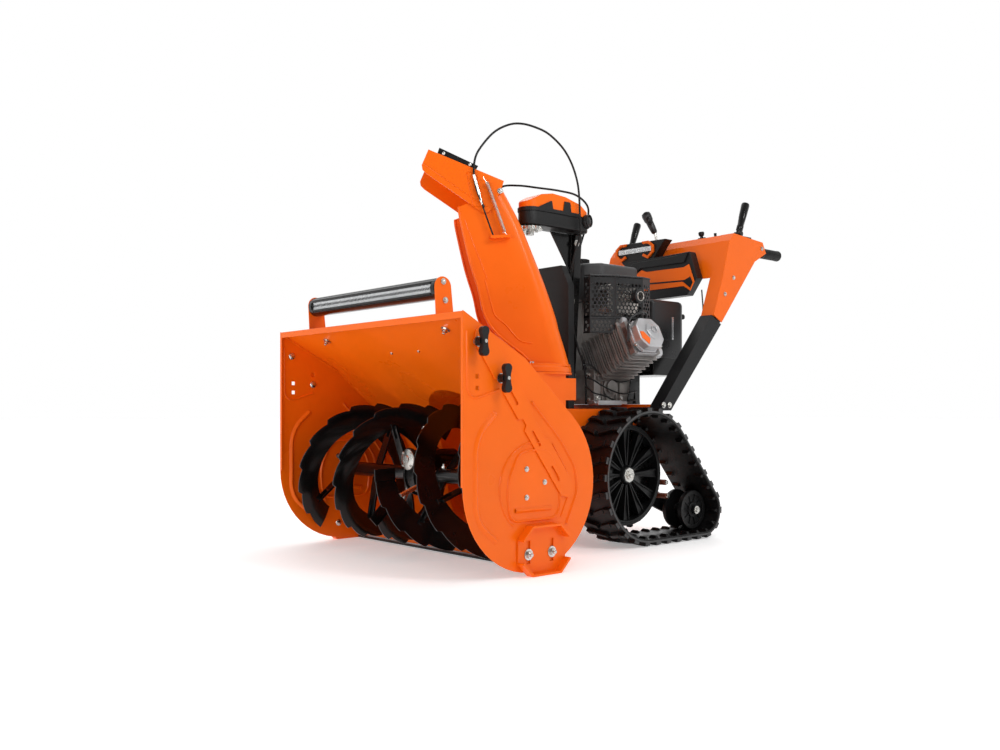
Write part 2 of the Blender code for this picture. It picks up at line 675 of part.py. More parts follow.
CABLE_RADIUS = 0.003
NEAR_CABLE = (
    (0.0905, 0.3325, 0.925), (0.0795, 0.3170, 0.970), (0.0745, 0.3105, 1.012), (0.0755, 0.314, 1.056),
    (0.079, 0.333, 1.091), (0.085, 0.374, 1.136), (0.093, 0.421, 1.163), (0.100, 0.463, 1.1715),
    (0.107, 0.510, 1.168), (0.114, 0.551, 1.156), (0.121, 0.596, 1.126), (0.126, 0.626, 1.088),
    (0.130, 0.645, 1.042), (0.1315, 0.653, 0.998), (0.1315, 0.656, 0.944), (0.128, 0.662, 0.890),
    (0.112, 0.662, 0.850), (0.100, 0.660, 0.809), (0.095, 0.655, 0.738), (0.095, 0.660, 0.650),
    (0.096, 0.684, 0.567), (0.097, 0.707, 0.519), (0.098, 0.716, 0.470), (0.098, 0.716, 0.400),
)
FAR_CABLE = (
    (-0.0590, 0.4850, 0.880), (-0.0560, 0.4890, 0.940), (-0.0510, 0.4970, 1.000), (-0.0410, 0.512, 1.030),
    (-0.005, 0.545, 1.032), (0.035, 0.585, 1.0245), (0.070, 0.633, 1.0175), (0.096, 0.680, 1.006),
    (0.100, 0.722, 0.978), (0.090, 0.7285, 0.935), (0.072, 0.7285, 0.890), (0.055, 0.7240, 0.840),
    (0.044, 0.712, 0.770), (0.0405, 0.702, 0.690), (0.0405, 0.702, 0.600), (0.042, 0.712, 0.500),
    (0.044, 0.716, 0.400),
)


def cables():
    for name, route in (("deflector_cable", NEAR_CABLE), ("chute_lock_cable", FAR_CABLE)):
        piece(name, BLACK, 0.5, 0.0, [tube(smooth(route, 2), CABLE_RADIUS)], at=CHUTE_AXIS)


# ---------------------------------------------------------------- chassis and tracks

def chassis():
    half, top, y0, y1, low = FRAME_HALF_WIDTH, FRAME_TOP, DRUM_REAR + 0.0005, 0.930, 0.100
    thick = 0.004
    shapes = [box((-half, y0, top - thick), (half, y1, top)),
              box((-half, y0, low), (half, y0 + thick, top)),
              box((-half, y1 - thick, low), (half, y1, top)),
              box((-half, y0, low), (thick - half, y1, top)),
              box((half - thick, y0, low), (half, y1, top)),
              box((-HANDLE_X[0] + GAP, 0.876, top - 0.005), (HANDLE_X[0] - GAP, 0.924, 0.400))]
    cuts = [box((-0.100, 0.622, top - 0.02), (0.100, 0.6515, top + 0.02)),
            rod((0, y0 - 0.02, IMPELLER_Z), (0, y0 + 0.02, IMPELLER_Z), 0.014),
            rod((-0.2, *WHEEL_AXIS), (0.2, *WHEEL_AXIS), 0.0135)]
    piece("chassis_frame", ORANGE, 0.35, 0.0, shapes, cuts)


def belt_loop(big, small):
    """Angles, centres and radii of a belt round the drive wheel and the idler, as a sampler."""
    (y1, z1), (y2, z2) = WHEEL_AXIS, IDLER_AXIS
    reach = hypot(y2 - y1, z2 - z1)
    tilt = atan2(z2 - z1, y2 - y1)
    lean = acos((big - small) / reach)
    upper, lower = tilt + lean, tilt - lean
    run = sqrt(reach * reach - (big - small) ** 2)
    lengths = (run, small * (upper - lower), run, big * (2 * pi - upper + lower))
    total = sum(lengths)

    def point(distance, out):
        """The point this far along the belt from the top of its rear run, moved outwards."""
        d = distance % total
        if d < lengths[0]:
            n, c, r, slide = upper, WHEEL_AXIS, big, d
            along = (sin(n), -cos(n))
        elif d < lengths[0] + lengths[1]:
            n = upper - (d - lengths[0]) / small
            c, r, slide, along = IDLER_AXIS, small, 0.0, (0, 0)
        elif d < total - lengths[3]:
            n, c, r = lower, IDLER_AXIS, small
            slide = d - lengths[0] - lengths[1]
            along = (sin(n), -cos(n))
        else:
            n = lower - (d - total + lengths[3]) / big
            c, r, slide, along = WHEEL_AXIS, big, 0.0, (0, 0)
        return (c[0] + (r + out) * cos(n) + along[0] * slide,
                c[1] + (r + out) * sin(n) + along[1] * slide)

    return total, point


def track_belt():
    big, small = WHEEL_AXIS[1] - LUG, IDLER_AXIS[1] - LUG
    total, point = belt_loop(big, small)
    pitch = total / LUG_COUNT
    outer, inner = [], []
    for k in range(LUG_COUNT):
        start = k * pitch
        for share, out in ((0.0, 0.0), (0.22, 0.0), (0.28, LUG), (0.62, LUG), (0.68, 0.0)):
            outer.append(point(start + share * pitch, out))
        inner += [point(start, -CARCASS), point(start + pitch / 2, -CARCASS)]
    return [prism(outer, "x", *TRACK_X, [inner])], []


def drive_wheel():
    y, z = WHEEL_AXIS

    def radial(angle, r0, r1, half, x0, x1):
        frame = Matrix.Translation((0, y, z)) @ Matrix.Rotation(angle, 4, "X")
        return box((x0, r0, -half), (x1, r1, half), frame)

    profile = [(0.0125, 0.020), (0.0125, 0.166), (0.028, 0.166), (0.028, 0.178), (0.1345, 0.172),
               (0.1345, 0.166), (WHEEL_RADIUS, 0.166), (WHEEL_RADIUS, 0.206), (0.1345, 0.206),
               (0.1345, 0.180), (0.028, 0.186), (0.028, 0.210), (0.006, 0.210), (0.006, 0.020)]
    shapes = [turned(profile[::-1], (0, y, z), (1, 0, 0), 36)]
    shapes += [radial(2 * pi * k / SPOKES, 0.024, 0.137, 0.0080, 0.178, 0.2005)
               for k in range(SPOKES)]
    shapes += [radial(2 * pi * k / SPROCKET_TEETH, 0.140, 0.160, 0.006, 0.168, 0.186)
               for k in range(SPROCKET_TEETH)]
    return shapes, [rod((0.0, y, z), (0.19, y, z), 0.0061)]


def idler():
    y, z = IDLER_AXIS
    shapes = [rod((0.176, y, z), (0.252, y, z), 0.0165, 12)]
    for x0, x1 in ((0.178, 0.190), (0.236, 0.250)):
        shapes.append(rod((x0, y, z), (x1, y, z), IDLER_RADIUS, 24))
    dish = turned([(0.046, 0.26), (0.046, 0.2435), (0.022, 0.2435), (0.022, 0.26)],
                  (0, y, z), (1, 0, 0), 20)
    return shapes, [rod((0.16, y, z), (0.27, y, z), 0.0088, 16), dish]


def track_arm():
    (y1, z1), (y2, z2) = WHEEL_AXIS, IDLER_AXIS
    tilt = degrees(atan2(z2 - z1, y2 - y1))
    lean = degrees(acos((0.034 - 0.022) / hypot(y2 - y1, z2 - z1)))
    loop = [*arc((y1, z1), 0.034, tilt + lean, tilt + 360 - lean, 20),
            *arc((y2, z2), 0.022, tilt - lean, tilt + lean, 8)]
    shapes = [prism(loop, "x", 0.150, 0.158),
              rod((0.150, y2, z2), (0.262, y2, z2), 0.008, 20),
              rod((0.254, y2, z2), (0.262, y2, z2), 0.013, 20)]
    return shapes, [rod((0.14, y1, z1), (0.17, y1, z1), 0.0135)]


def tracks():
    axle = (0.185, *WHEEL_AXIS)
    pair("track_belt", BLACK, 0.85, 0.0, track_belt, axle)
    pair("track_arm", BLACK, 0.5, 0.2, track_arm, axle)
    pair("drive_wheel", BLACK, 0.5, 0.0, drive_wheel, axle)
    pair("idler", BLACK, 0.5, 0.0, idler, (0.214, *IDLER_AXIS))


# ---------------------------------------------------------------- engine

CYLINDER = Matrix.Translation((0.064, 0.816, 0.517)) @ Matrix.Rotation(-CYLINDER_TILT, 4, "Y")


def octagon(half_u, half_v, chamfer):
    return [(half_u - chamfer, -half_v), (half_u, chamfer - half_v), (half_u, half_v - chamfer),
            (half_u - chamfer, half_v), (chamfer - half_u, half_v), (-half_u, half_v - chamfer),
            (-half_u, chamfer - half_v), (chamfer - half_u, -half_v)]


def engine():
    case = [box((-0.120, 0.735, 0.4005), (0.112, 0.905, 0.502)),
            box((-0.120, 0.845, 0.4005), (0.060, 0.955, 0.570)),
            box((-0.100, 0.750, 0.490), (0.050, 0.930, 0.7045)),
            box((-0.040, -0.050, -0.050), (0.175, 0.050, 0.050), CYLINDER),
            box((0.163, -0.056, -0.050), (0.180, 0.056, 0.050), CYLINDER)]
    fins = 9
    for k in range(fins):
        x = 0.012 + 0.0176 * k
        half = 0.072 - 0.0012 * k
        case.append(box((x, -half, 0.004 - half), (x + 0.004, half, half - 0.004), CYLINDER))
    piece("engine_block", GREY, 0.4, 0.8, case,
          [rod((0, 0.70, CRANK_Z), (0, 0.765, CRANK_Z), 0.0135)])
    cover = prism(octagon(0.051, 0.046, 0.024), "x", 0.1805, 0.214)
    piece("valve_cover", SILVER, 0.35, 0.9, [moved(cover, CYLINDER)])

    outlet = (0.833, 0.716)
    silencer = [prism(octagon(0.066, 0.043, 0.016), "x", 0.117, 0.160)]
    moved(silencer[0], Matrix.Translation((0, 0.811, 0.709)))
    silencer.append(rod((0.150, *outlet), (0.208, *outlet), 0.0145, 24))
    bore = rod((0.170, *outlet), (0.22, *outlet), 0.0120, 24)
    piece("muffler", GREY, 0.5, 0.7, silencer, [bore])

    def guard(inset):
        return [(0.1125 - inset, 0.692 + inset), (0.137 - inset, 0.692 + inset),
                (0.174 - inset, 0.760), (0.199 - inset, 0.850), (0.192 - inset, 0.892 - inset),
                (0.1125 - inset, 0.892 - inset)]

    hollow = prism(guard(0.0025), "z", 0.58, 0.7725)
    raised = box((0.10, 0.738, 0.58), (0.25, 0.95, 0.648))
    piece("muffler_guard", GREY, 0.5, 0.4, [prism(guard(0.0), "z", 0.605, 0.775)],
          [hollow, raised, rod((0.16, *outlet), (0.23, *outlet), 0.019, 24)])

    tank = [(-0.110, 0.760), (-0.085, 0.736), (0.062, 0.736), (0.110, 0.775), (0.110, 0.935),
            (-0.110, 0.935)]
    piece("fuel_tank", BLACK, 0.45, 0.0, [prism(tank, "z", 0.705, 0.820)])
    cap = (0.022, 0.775)
    piece("fuel_cap", BLACK, 0.5, 0.0, [rod((*cap, 0.8204), (*cap, 0.838), 0.024, 24)],
          at=(*cap, 0.8204))
    recoil = [(-0.115, 0.9555), (0.150, 0.9555), (0.150, 1.100), (0.132, 1.117), (-0.097, 1.117),
              (-0.115, 1.100)]
    piece("recoil_cover", BLACK, 0.45, 0.0, [prism(recoil, "z", 0.490, 0.723)])


# ---------------------------------------------------------------- handlebars and console

def handlebar():
    x0, x1 = HANDLE_X
    lower = [(0.8655, 0.382), (0.9205, 0.382), (1.1655, 0.6500), (1.1170, 0.6760)]
    inner = [(1.1380, 0.6550), (1.1600, 0.6440), (1.3700, 0.8890), (1.3700, 0.9100), (1.3450, 0.9100)]
    return [prism(lower, "x", x0, x1), prism(inner, "x", GRIP_X - 0.012, GRIP_X + 0.012),
            rod((GRIP_X, 1.350, 0.8990), (GRIP_X, LENGTH, 0.8990), 0.0150, 16)], []


CONSOLE_FOLD = ((1.172, 0.800), (1.2075, 0.9155), (1.2260, 0.9385), (1.3850, 0.9265))


def console():
    half = 0.2490

    def leg():
        outline = [(1.1235, 0.6770), (1.1640, 0.6560), (1.3420, 0.8620), (1.4050, 0.8950),
                   (1.3860, 0.9290), (1.2260, 0.9410), (1.2060, 0.9170), (1.1700, 0.8000)]
        inside = [(y + 0.004, z - (0.004 if z > 0.9 else 0.0)) for y, z in outline]
        inside[0] = (inside[0][0], inside[0][1] - 0.01)
        behind = [inside[0], (1.30, 0.60), (1.50, 0.80), (1.50, 0.920), *inside[4:]]
        return prism(outline, "x", 0.203, 0.2520), prism(behind, "x", 0.15, 0.2490)

    shapes, cuts = [sheet(CONSOLE_FOLD, -half, half, 0.003)], []
    for mirror in (False, True):
        body, hollow = leg()
        shapes.append(mirrored(body) if mirror else body)
        cuts.append(mirrored(hollow) if mirror else hollow)
    piece("console", ORANGE, 0.35, 0.0, shapes, cuts)

    badge = [(-0.130, 0.835), (-0.105, 0.880), (0.150, 0.886), (0.178, 0.800), (0.140, 0.748),
             (-0.030, 0.745), (-0.110, 0.770)]
    lamps = [(-0.176, 0.908), (-0.152, 0.946), (0.040, 0.943), (0.020, 0.922), (-0.012, 0.880),
             (-0.060, 0.862), (-0.130, 0.866)]
    piece("console_bezel", BLACK, 0.45, 0.0,
          [prism(badge, "y", 1.135, 1.167), prism(lamps, "y", 1.150, 1.1885)])


def lever_at(name, x, y, z, tip, radius, tip_radius, collar=0.0085):
    """A tapered lever standing on a pivot that runs along X."""
    base = Vector((x, y, z))
    tip = base + Vector(tip)
    shapes = [rod(base - Vector((0.013, 0, 0)), base + Vector((0.013, 0, 0)), collar, 20),
              rod(base, tip, radius, 16, tip_radius)]
    piece(name, BLACK, 0.4, 0.0, shapes, at=base)


def controls():
    for name, x in (("auger_lever", GRIP_X), ("traction_lever", -GRIP_X)):
        lever_at(name, x, 1.2850, 0.9480, (0, 0.030, 0.106), 0.0095, 0.0135)
    lever_at("speed_lever", 0.100, 1.2650, 0.9450, (0, -0.004, 0.024), 0.0060, 0.0100, 0.0065)

    base = Vector((-0.085, 1.262, 0.9450))
    neck = base + Vector((-0.006, -0.006, 0.045))
    head = base + Vector((-0.034, -0.026, 0.118))
    shapes = [rod(base - Vector((0, 0.010, 0)), base + Vector((0, 0.010, 0)), 0.0065, 16),
              rod(base, neck + Vector((-0.001, -0.001, 0.008)), 0.0045, 12),
              rod(neck, head, 0.010, 16, 0.0165)]
    piece("chute_lever", BLACK, 0.45, 0.0, shapes, at=base)


def build():
    housing()
    pair("skid_shoe", ORANGE, 0.35, 0.0, skid_shoe)
    pair("drift_cutter", ORANGE, 0.35, 0.0, drift_cutter)
    for place, (y, z) in KNOBS.items():
        pair(f"drift_knob_{place}", BLACK, 0.5, 0.0, drift_knob(y, z), (DRIFT_X[1], y, z))
    light_bar()
    auger()
    impeller()
    belt_drive()
    chute()
    deflector()
    tower()
    cables()
    chassis()
    tracks()
    engine()
    pair("handlebar", BLACK, 0.45, 0.2, handlebar)
    console()
    controls()
    BENCH.children.link(PARTS)
    BENCH.children.link(CUTTERS)


build()
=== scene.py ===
"""Looks for the tracked two-stage snow blower: finishes, fine shapes, floor, light and camera.

Shapes are given in the machine frame (y = 0 at the front edge of the auger housing, z = 0 on the
ground, +X on the operator's left) and moved into the row frame as they are made.
"""

import json
from math import acos, atan2, cos, degrees, hypot, pi, radians, sin, sqrt

import bmesh
import bpy
from mathutils import Matrix, Vector

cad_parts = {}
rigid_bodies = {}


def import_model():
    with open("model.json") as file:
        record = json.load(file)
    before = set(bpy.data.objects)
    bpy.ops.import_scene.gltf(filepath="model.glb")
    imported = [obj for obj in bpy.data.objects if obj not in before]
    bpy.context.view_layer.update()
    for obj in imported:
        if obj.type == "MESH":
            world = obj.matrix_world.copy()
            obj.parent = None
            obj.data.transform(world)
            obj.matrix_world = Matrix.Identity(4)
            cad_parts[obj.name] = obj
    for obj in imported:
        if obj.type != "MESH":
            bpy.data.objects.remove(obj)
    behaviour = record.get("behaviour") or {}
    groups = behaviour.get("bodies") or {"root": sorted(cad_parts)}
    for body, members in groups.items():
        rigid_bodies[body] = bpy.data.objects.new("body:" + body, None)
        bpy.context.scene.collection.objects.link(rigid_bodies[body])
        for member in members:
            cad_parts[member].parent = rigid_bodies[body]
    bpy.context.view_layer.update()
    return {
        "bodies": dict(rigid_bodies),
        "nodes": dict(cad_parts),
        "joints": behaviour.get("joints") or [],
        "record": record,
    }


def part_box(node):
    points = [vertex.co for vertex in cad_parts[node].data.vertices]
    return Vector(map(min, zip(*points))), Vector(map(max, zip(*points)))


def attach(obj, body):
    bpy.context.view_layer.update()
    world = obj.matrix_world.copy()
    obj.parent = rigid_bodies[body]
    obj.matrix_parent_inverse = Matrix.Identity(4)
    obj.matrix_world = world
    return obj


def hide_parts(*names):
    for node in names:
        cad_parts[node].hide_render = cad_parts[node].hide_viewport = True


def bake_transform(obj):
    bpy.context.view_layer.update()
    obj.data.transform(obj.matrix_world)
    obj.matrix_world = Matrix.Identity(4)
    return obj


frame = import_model()

SIDE_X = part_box("housing_side_left")[1][0]
SHEET = 0.003
FRONT_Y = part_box("housing_side_left")[0][1]
INTO_ROW = Matrix.Translation((0.0, FRONT_Y, 0.0))

AUGER_AXIS = Vector((0.0, 0.207, 0.2134))
AUGER_RADIUS = 0.190
AUGER_INNER_RADIUS = 0.125
AUGER_PITCH = 0.345
AUGER_SPAN = (0.034, 0.398)
INNER_SPOKE_X = 0.052
ARM_X = (0.085, 0.230, 0.375)
HUB_X = (0.066, 0.400)
SHEAR_PIN_X = 0.078
TEETH_PER_TURN = 16
TOOTH = 0.009
IMPELLER_Z = 0.255
SKID_BOLTS = ((0.191, 0.050), (0.266, 0.050))
LIGHT_BAR = (0.042, 0.667)
CHUTE_AXIS = Vector((0.085, 0.505, 0.0))
CHUTE_HEADING = radians(-35)
CHUTE_HALF_WIDTH = 0.090
CHUTE_FRAME = Matrix.Translation(CHUTE_AXIS) @ Matrix.Rotation(CHUTE_HEADING, 4, "Z")
ACROSS_CHUTE = CHUTE_FRAME.to_3x3() @ Vector((1, 0, 0))
DEFLECTOR_SIDE = CHUTE_HALF_WIDTH + 0.0055
WHEEL_AXIS = (0.778, 0.196)
IDLER_AXIS = (1.024, 0.083)
TRACK_X = (0.147, 0.297)
CARCASS = 0.010
LUG = 0.010
LUG_COUNT = 30
GRIP_X = 0.2285
SPEED_LEVER = (0.100, 1.265, 0.945)
CHUTE_LEVER = (-0.085, 1.262, 0.945)
DECK_Z = 0.4005
CYLINDER = Matrix.Translation((0.064, 0.816, 0.517)) @ Matrix.Rotation(radians(-25), 4, "Y")
RECOIL_HUB = Vector((0.014, 1.117, 0.606))

BENCH = bpy.context.scene.collection


# ---------------------------------------------------------------- finishes

def put(node, **values):
    """Sets a node's inputs, with an underscore for each space in an input's name."""
    for name, value in values.items():
        node.inputs[name.replace("_", " ")].default_value = value
    return node



def finish(name, color, roughness, metallic=0.0, coat=0.0, grain=(600.0, 0.05), mottle=(9.0, 0.06),
           scuff=0.08, transmission=0.0, shine=0.5):
    """A Principled finish with fine grain in its relief and slow variation in colour and gloss."""
    material = bpy.data.materials.new(name)
    material.use_nodes = True
    nodes, links = material.node_tree.nodes, material.node_tree.links
    shader = put(nodes["Principled BSDF"], Metallic=metallic, Coat_Weight=coat, Coat_Roughness=0.12,
                 Specular_IOR_Level=shine, Transmission_Weight=transmission)
    place = nodes.new("ShaderNodeTexCoord").outputs["Object"]
    slow = put(nodes.new("ShaderNodeTexNoise"), Scale=mottle[0], Detail=5.0)
    shades = nodes.new("ShaderNodeValToRGB")
    looks = ((0.35, 1 - mottle[1]), (0.65, 1 + mottle[1]))
    for element, (position, gain) in zip(shades.color_ramp.elements, looks):
        element.color = (*(min(1.0, c * gain) for c in color), 1.0)
        element.position = position
    gloss = put(nodes.new("ShaderNodeMapRange"), From_Min=0.3, From_Max=0.7,
                To_Min=max(0.02, roughness - scuff), To_Max=min(1.0, roughness + scuff))
    fine = put(nodes.new("ShaderNodeTexNoise"), Scale=grain[0], Detail=2.0)
    relief = put(nodes.new("ShaderNodeBump"), Strength=grain[1], Distance=0.001)
    for source, target in (
        (place, slow.inputs["Vector"]),
        (slow.outputs["Fac"], shades.inputs["Fac"]),
        (shades.outputs["Color"], shader.inputs["Base Color"]),
        (slow.outputs["Fac"], gloss.inputs["Value"]),
        (gloss.outputs["Result"], shader.inputs["Roughness"]),
        (place, fine.inputs["Vector"]),
        (fine.outputs["Fac"], relief.inputs["Height"]),
        (relief.outputs["Normal"], shader.inputs["Normal"]),
    ):
        links.new(source, target)
    return material


ORANGE = finish("orange_powder_coat", (0.87, 0.135, 0.0025), 0.33, coat=0.10, grain=(450, 0.10),
                mottle=(5, 0.04), shine=0.18)
BLACK_GLOSS = finish("black_enamel", (0.0035, 0.0033, 0.0033), 0.20, coat=0.15, grain=(300, 0.10),
                     mottle=(8, 0.15), shine=0.3)
BLACK_SATIN = finish("black_powder_coat", (0.008, 0.008, 0.0085), 0.36, grain=(700, 0.25), shine=0.25)
BLACK_PLASTIC = finish("black_moulded_plastic", (0.006, 0.006, 0.0063), 0.38, grain=(1400, 0.30),
                       mottle=(12, 0.12), shine=0.3)
RUBBER = finish("black_rubber", (0.005, 0.0045, 0.0045), 0.42, grain=(260, 0.40), mottle=(25, 0.25),
                scuff=0.14, shine=0.22)
# Lighter grey rubber for the track's edge strips and edge teeth: a painted highlight standing in for
# the bright lines that light draws along the black track's edges.
EDGE_HIGHLIGHT_GREY = finish("rubber_edge_painted_highlight", (0.040, 0.040, 0.041), 0.50, grain=(300, 0.45),
                   mottle=(30, 0.25))
JACKET = finish("cable_jacket", (0.004, 0.004, 0.004), 0.30, grain=(900, 0.15), shine=0.25)
ZINC = finish("zinc_plate", (0.60, 0.59, 0.56), 0.26, metallic=1.0, grain=(900, 0.20),
              mottle=(60, 0.10))
CAST = finish("cast_aluminium", (0.50, 0.50, 0.51), 0.40, metallic=0.85, grain=(420, 0.60),
              mottle=(18, 0.14))
BLOCK = finish("dull_cast_block", (0.250, 0.232, 0.220), 0.42, metallic=0.6, grain=(380, 0.55),
               mottle=(14, 0.25))
HEATED = finish("heated_steel", (0.050, 0.040, 0.034), 0.38, metallic=0.9, grain=(500, 0.30),
                mottle=(16, 0.35))
STEEL = finish("plated_steel", (0.50, 0.47, 0.44), 0.30, metallic=1.0, grain=(500, 0.25),
               mottle=(20, 0.30))
TANK_GREY = finish("grey_moulded_plastic", (0.045, 0.045, 0.046), 0.42, grain=(1200, 0.30))
GUARD = finish("guard_steel", (0.034, 0.034, 0.035), 0.30, metallic=0.6, grain=(700, 0.20))
LENS = finish("clear_lens", (0.96, 0.97, 0.97), 0.05, grain=(900, 0.05), transmission=1.0)
LENS.node_tree.nodes["Principled BSDF"].inputs["IOR"].default_value = 1.08
REFLECTOR = finish("reflector", (0.66, 0.67, 0.68), 0.22, metallic=1.0, grain=(1200, 0.25))
PIN_RED = finish("rusty_red_pin", (0.20, 0.045, 0.020), 0.45, metallic=0.3, grain=(500, 0.4))


# ---------------------------------------------------------------- shape tools

def mesh_from(bm):
    bmesh.ops.recalc_face_normals(bm, faces=bm.faces)
    mesh = bpy.data.meshes.new("shape")
    bm.to_mesh(mesh)
    bm.free()
    return mesh


def baked(obj):
    """An object's mesh as it is drawn, with doubled points joined."""
    BENCH.objects.link(obj)
    bpy.context.view_layer.update()
    graph = bpy.context.evaluated_depsgraph_get()
    mesh = bpy.data.meshes.new_from_object(obj.evaluated_get(graph))
    mesh.transform(obj.matrix_world)
    bpy.data.objects.remove(obj)
    bm = bmesh.new()
    bm.from_mesh(mesh)
    bmesh.ops.remove_doubles(bm, verts=bm.verts, dist=1e-6)
    return mesh_from(bm)


def moved(mesh, matrix):
    mesh.transform(matrix)
    return mesh


def mirrored(mesh):
    """A copy on the other side of the machine."""
    copy = mesh.copy()
    copy.transform(Matrix.Scale(-1, 4, (1, 0, 0)))
    copy.flip_normals()
    return copy


def upright_to(axis):
    """The turn that lays +Z along an axis."""
    return Vector((0, 0, 1)).rotation_difference(Vector(axis)).to_matrix().to_4x4()


def turned(centre, angle, axis="X"):
    return Matrix.Translation(centre) @ Matrix.Rotation(angle, 4, axis)


def steps_round(centre, count, axis="X"):
    """Places at a centre, turned in equal steps about an axis."""
    return [turned(centre, 2 * pi * k / count, axis) for k in range(count)]


def box(low, high, frame=None):
    bm = bmesh.new()
    size = [b - a for a, b in zip(low, high)]
    middle = [(a + b) / 2 for a, b in zip(low, high)]
    matrix = Matrix.Translation(middle) @ Matrix.Diagonal((*size, 1.0))
    bmesh.ops.create_cube(bm, size=1.0, matrix=matrix if frame is None else frame @ matrix)
    return mesh_from(bm)


def rod(start, end, radius, sides=32, end_radius=None):
    start, end = Vector(start), Vector(end)
    bm = bmesh.new()
    bmesh.ops.create_cone(
        bm, cap_ends=True, segments=sides, radius1=radius,
        radius2=radius if end_radius is None else end_radius, depth=(end - start).length,
        matrix=Matrix.Translation((start + end) / 2) @ upright_to(end - start),
    )
    return mesh_from(bm)


def rod_x(start, end, y, z, radius, sides=32, end_radius=None):
    return rod((start, y, z), (end, y, z), radius, sides, end_radius)


def dome(centre, axis, radius, height):
    """A low rounded button standing on centre along axis."""
    bm = bmesh.new()
    bmesh.ops.create_uvsphere(bm, u_segments=20, v_segments=12, radius=1.0)
    place = Matrix.Translation(centre) @ upright_to(axis)
    place = place @ Matrix.Diagonal((radius, radius, height, 1.0))
    bmesh.ops.transform(bm, matrix=place, verts=bm.verts)
    return mesh_from(bm)


PRISM_TURN = {"x": (pi / 2, 0.0, pi / 2), "y": (pi / 2, 0.0, 0.0), "z": (0.0, 0.0, 0.0)}


def prism(outline, axis, low, high, holes=()):
    """A flat outline extruded along X, Y or Z; its pairs are (y, z), (x, z) or (x, y)."""
    curve = bpy.data.curves.new("outline", "CURVE")
    curve.dimensions = "2D"
    curve.fill_mode = "BOTH"
    curve.extrude = (high - low) / 2
    for loop in (outline, *holes):
        spline = curve.splines.new("POLY")
        spline.points.add(len(loop) - 1)
        for point, (u, v) in zip(spline.points, loop):
            point.co = (u, v, 0.0, 1.0)
        spline.use_cyclic_u = True
    obj = bpy.data.objects.new("outline", curve)
    obj.rotation_euler = PRISM_TURN[axis]
    obj.location["xyz".index(axis)] = (low + high) / 2
    return baked(obj)


def loft(rings, around=True, closed=False):
    """Skins rows of points: around joins each row's ends, closed joins the last row to the first."""
    bm = bmesh.new()
    rows = [[bm.verts.new(point) for point in ring] for ring in rings]
    for a, b in zip(rows, rows[1:] + rows[:1] if closed else rows[1:]):
        for k in range(len(a) if around else len(a) - 1):
            j = (k + 1) % len(a)
            bm.faces.new((a[k], a[j], b[j], b[k]))
    if around and not closed:
        bm.faces.new(rows[0])
        bm.faces.new(rows[-1])
    return mesh_from(bm)


def lathe(profile, start, end, steps=32, closed=False):
    """Turns (share of the way, radius) points about the line from start to end; closed for a ring."""
    start, end = Vector(start), Vector(end)
    frame = Matrix.Translation(start) @ upright_to(end - start)
    frame = frame @ Matrix.Diagonal((1, 1, (end - start).length, 1))
    angles = [2 * pi * k / steps for k in range(steps)]
    return loft([[frame @ Vector((r * cos(a), r * sin(a), share)) for a in angles]
                 for share, r in profile], closed=closed)


def ring(inner, outer, start, end, steps=48):
    return lathe([(0, inner), (0, outer), (1, outer), (1, inner)], start, end, steps, closed=True)


def heading(points, k):
    """The direction of a line of points at its point k."""
    return (points[min(k + 1, len(points) - 1)] - points[max(k - 1, 0)]).normalized()


def curve_at(a, b, c, d, t):
    """A point of a Catmull-Rom curve, the share t of the way from b to c."""
    return 0.5 * (2 * b + (c - a) * t + (2 * a - 5 * b + 4 * c - d) * t * t
                  + (3 * b - a - 3 * c + d) * t ** 3)


def tube(points, radius, sides=12):
    """A round tube along points, its rings carried along without twist."""
    points = [Vector(p) for p in points]
    side = heading(points, 0).orthogonal().normalized()
    angles = [2 * pi * j / sides for j in range(sides)]
    rings = []
    for k, point in enumerate(points):
        ahead = heading(points, k)
        side = (side - ahead * side.dot(ahead)).normalized()
        other = ahead.cross(side)
        rings.append([point + radius * (side * cos(a) + other * sin(a)) for a in angles])
    return loft(rings)


def smooth(points, per_span):
    """Points read from a curve through a route's own points."""
    points = [Vector(p) for p in points]
    ends = [2 * points[0] - points[1], *points, 2 * points[-1] - points[-2]]
    found = [curve_at(*four, i / per_span)
             for four in zip(ends, ends[1:], ends[2:], ends[3:])
             for i in range(per_span)]
    return [*found, points[-1]]


def arc(centre, radius, start, end, steps):
    angles = [radians(start + (end - start) * i / steps) for i in range(steps + 1)]
    return [(centre[0] + radius * cos(a), centre[1] + radius * sin(a)) for a in angles]


def octagon(half_u, half_v, chamfer):
    return [(half_u - chamfer, -half_v), (half_u, chamfer - half_v), (half_u, half_v - chamfer),
            (half_u - chamfer, half_v), (chamfer - half_u, half_v), (-half_u, half_v - chamfer),
            (-half_u, chamfer - half_v), (chamfer - half_u, -half_v)]


def bead(path, width, height, place):
    """A low rounded rib pressed into a panel: path is flat, place puts (u, v, out) in the machine."""
    path = [Vector(p) for p in path]
    shares = [step / 4 - 1 for step in range(9)]
    rings = []
    for k, point in enumerate(path):
        ahead = heading(path, k)
        across = Vector((-ahead.y, ahead.x))
        flats = [point + across * (share * width / 2) for share in shares]
        outs = [height * cos(share * pi / 2) ** 1.3 - 0.0004 * abs(share) for share in shares]
        rings.append([place(flat.x, flat.y, out) for flat, out in zip(flats, outs)])
    return loft(rings, around=False)


def rounded(points, radius, steps=5, closed=False):
    """A flat line with its corners rounded off."""
    points = [Vector(p) for p in points]
    found = []
    for k, point in enumerate(points):
        if not closed and k in (0, len(points) - 1):
            found.append(point)
            continue
        before, after = points[k - 1], points[(k + 1) % len(points)]
        reach = min(radius, (before - point).length * 0.48, (after - point).length * 0.48)
        a = point + (before - point).normalized() * reach
        b = point + (after - point).normalized() * reach
        for i in range(steps + 1):
            t = i / steps
            found.append(a.lerp(point, t).lerp(point.lerp(b, t), t))
    return [*found, found[0]] if closed else found


